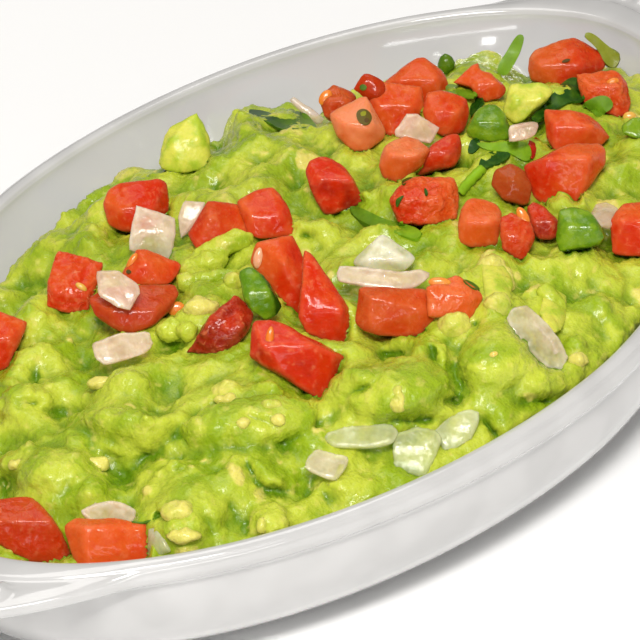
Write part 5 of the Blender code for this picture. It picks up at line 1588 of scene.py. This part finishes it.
def makeStems(tree):
    for name, look in stemLooks.items():
        line = drape(tree, np.array(look["points"], float), 0.5, look["radius"] * 0.6)
        steps = np.linspace(0, len(line) - 1, 14)
        line = np.stack([np.interp(steps, range(len(line)), line[:, axis]) for axis in range(3)], 1)
        tangent = line[-1] - line[0]
        tangent /= np.linalg.norm(tangent)
        over = np.cross(seenOut, tangent)
        turns = np.arange(stemSides) * math.pi / (stemSides / 2)
        circle = np.cos(turns)[:, None] * seenOut + np.sin(turns)[:, None] * over
        rings = []
        for step, centre in enumerate(line):
            swell = 0.75 if step in (0, len(line) - 1) else 1 + 0.08 * math.sin(step * 2.1)
            rings.append(centre + look["radius"] * mm * swell * circle)
        faces = ringFaces(len(line), stemSides) + endFaces(len(line), stemSides)
        piece = newPiece(name, meshOf(name, np.concatenate(rings), faces), finishes["leaf"])
        faceOutwards(piece.data)
        writeMask(piece.data, "lightness", look["light"])
        hideSeams(piece, 60)
        finishPiece(piece, "coriander_leaf")
    print(len(stemLooks), "stems made")


def makeSeeds(tree):
    for count, (right, up, halfLong, halfWide, turned, tone) in enumerate(seedLooks):
        spot = landing(tree, right, up) - seenOut * seedSizes["sink"] * mm
        mesh = seenEgg(spot, (halfLong, halfWide, seedSizes["halfThick"]), turned)
        piece = newPiece(f"seed{count + 1:02d}", mesh, finishes["seed"])
        writeMask(mesh, "tone", tone)
        hideSeams(piece)
        finishPiece(piece, "seed")
    print(len(seedLooks), "seeds made")


def makeBits(tree):
    for count, (name, look) in enumerate(bitLooks.items()):
        look = usualBit | look
        rim = drape(tree, np.array(look["corners"], float), look["stand"], look["lift"])
        centre = rim.mean(0)
        raised = centre + (rim - centre) * bitCut["raised"] + seenOut * look["thick"] * bitCut["front"] * mm
        back = centre + (rim - centre) * bitCut["backScale"] - seenOut * look["thick"] * mm
        bm = bmesh.new()
        addHull(bm, np.concatenate([rim, raised, back]))
        piece = newPiece(name, meshFrom(bm, name))
        refine(piece, bitCut["cell"], bitCut["rounding"])
        roughen(piece.data, (bitCut["swell"], bitCut["swellSize"], count),
                (bitCut["fine"], bitCut["fineSize"], count))
        masks = {
            "tomato": {"ripeness": look["ripe"], "skin": 0.0, "pulp": 0.2, "rim": 0.0, "dull": look["dull"]},
            "onion": {"blush": look["blush"], "greenish": look["greenish"], "rim": 0.0},
            "pepper": {"skin": 0.5}, "avocado": {},
        }[look["kind"]]
        dressPiece(piece, look["kind"], None, masks)
    print(len(bitLooks), "small cut bits made")


makeTomatoes()
makeSlices()
makeMash()
makeFolds()
mashPieces = [bpy.data.objects[name] for name in ("mashedAvocado", "mashFolds")]
makeBits(treeOf(mashPieces + toppingPieces))
seenTree = treeOf(mashPieces + toppingPieces)
makeSeeds(seenTree)
makeStems(seenTree)
makeLeaves(seenTree)


def makeCamera():
    lens = bpy.data.cameras.new("camera")
    lens.lens = viewSettings["lens"]
    lens.sensor_width = 36
    lens.clip_start = 0.05
    camera = bpy.data.objects.new("camera", lens)
    camera.location = viewSettings["place"]
    camera.rotation_euler = [math.radians(angle) for angle in viewSettings["tilt"]]
    bpy.context.scene.collection.objects.link(camera)
    bpy.context.scene.camera = camera


def areaLight(name, place, aim, size, power, tint=(1, 1, 1)):
    lamp = bpy.data.lights.new(name, "AREA")
    lamp.shape = "RECTANGLE"
    lamp.size = size[0]
    lamp.size_y = size[1]
    lamp.energy = power
    lamp.color = tint
    made = bpy.data.objects.new(name, lamp)
    made.location = place
    made.rotation_euler = (Vector(aim) - Vector(place)).to_track_quat("-Z", "Y").to_euler()
    bpy.context.scene.collection.objects.link(made)


warm = (1, 0.98, 0.95)
lamps = {  # places in metres, power in watts
    "frontSoftbox": {"place": (-0.54, -0.43, 0.98), "aim": (0, 0, 0.02), "size": (0.45, 0.24), "power": 12.0,
                     "tint": warm},
    "topSoftbox": {"place": (0.3, 0.25, 1.1), "aim": (0, 0, 0.02), "size": (0.6, 0.6), "power": 3.2,
                   "tint": warm},
    "windowStrip": {"place": (-0.372, -0.328, 0.208), "aim": (0.078, 0.024, 0.022), "size": (0.41, 0.05),
                    "power": 0.38},
    "windowCorner": {"place": (-0.316, -0.19, 0.238), "aim": (0.082, 0.018, 0.019), "size": (0.035, 0.03),
                     "power": 0.05},
}
studio = {"sky": (1, 0.985, 0.955, 1), "skyStrength": 0.24, "floor": (0.97, 0.97, 0.97, 1)}


def makeLight():
    world = bpy.data.worlds.new("studio")
    bpy.context.scene.world = world
    world.use_nodes = True
    sky = world.node_tree.nodes["Background"]
    sky.inputs["Color"].default_value = studio["sky"]
    sky.inputs["Strength"].default_value = studio["skyStrength"]
    for name, lamp in lamps.items():
        areaLight(name, **lamp)
    scene = bpy.context.scene
    scene.view_settings.view_transform = "Standard"
    scene.view_settings.look = "None"


def makeFloor():
    reach = viewSettings["floorSize"] / 2
    corners = [(-reach, -reach, 0), (reach, -reach, 0), (reach, reach, 0), (-reach, reach, 0)]
    finish, *_ = newFinish("paleFloor", {"Roughness": 0.7, "Base Color": studio["floor"]})
    floor = newPiece("floor", meshOf("floor", corners, [(0, 1, 2, 3)]), finish)


makeCamera()
makeLight()
makeFloor()
print("camera, light and floor placed")
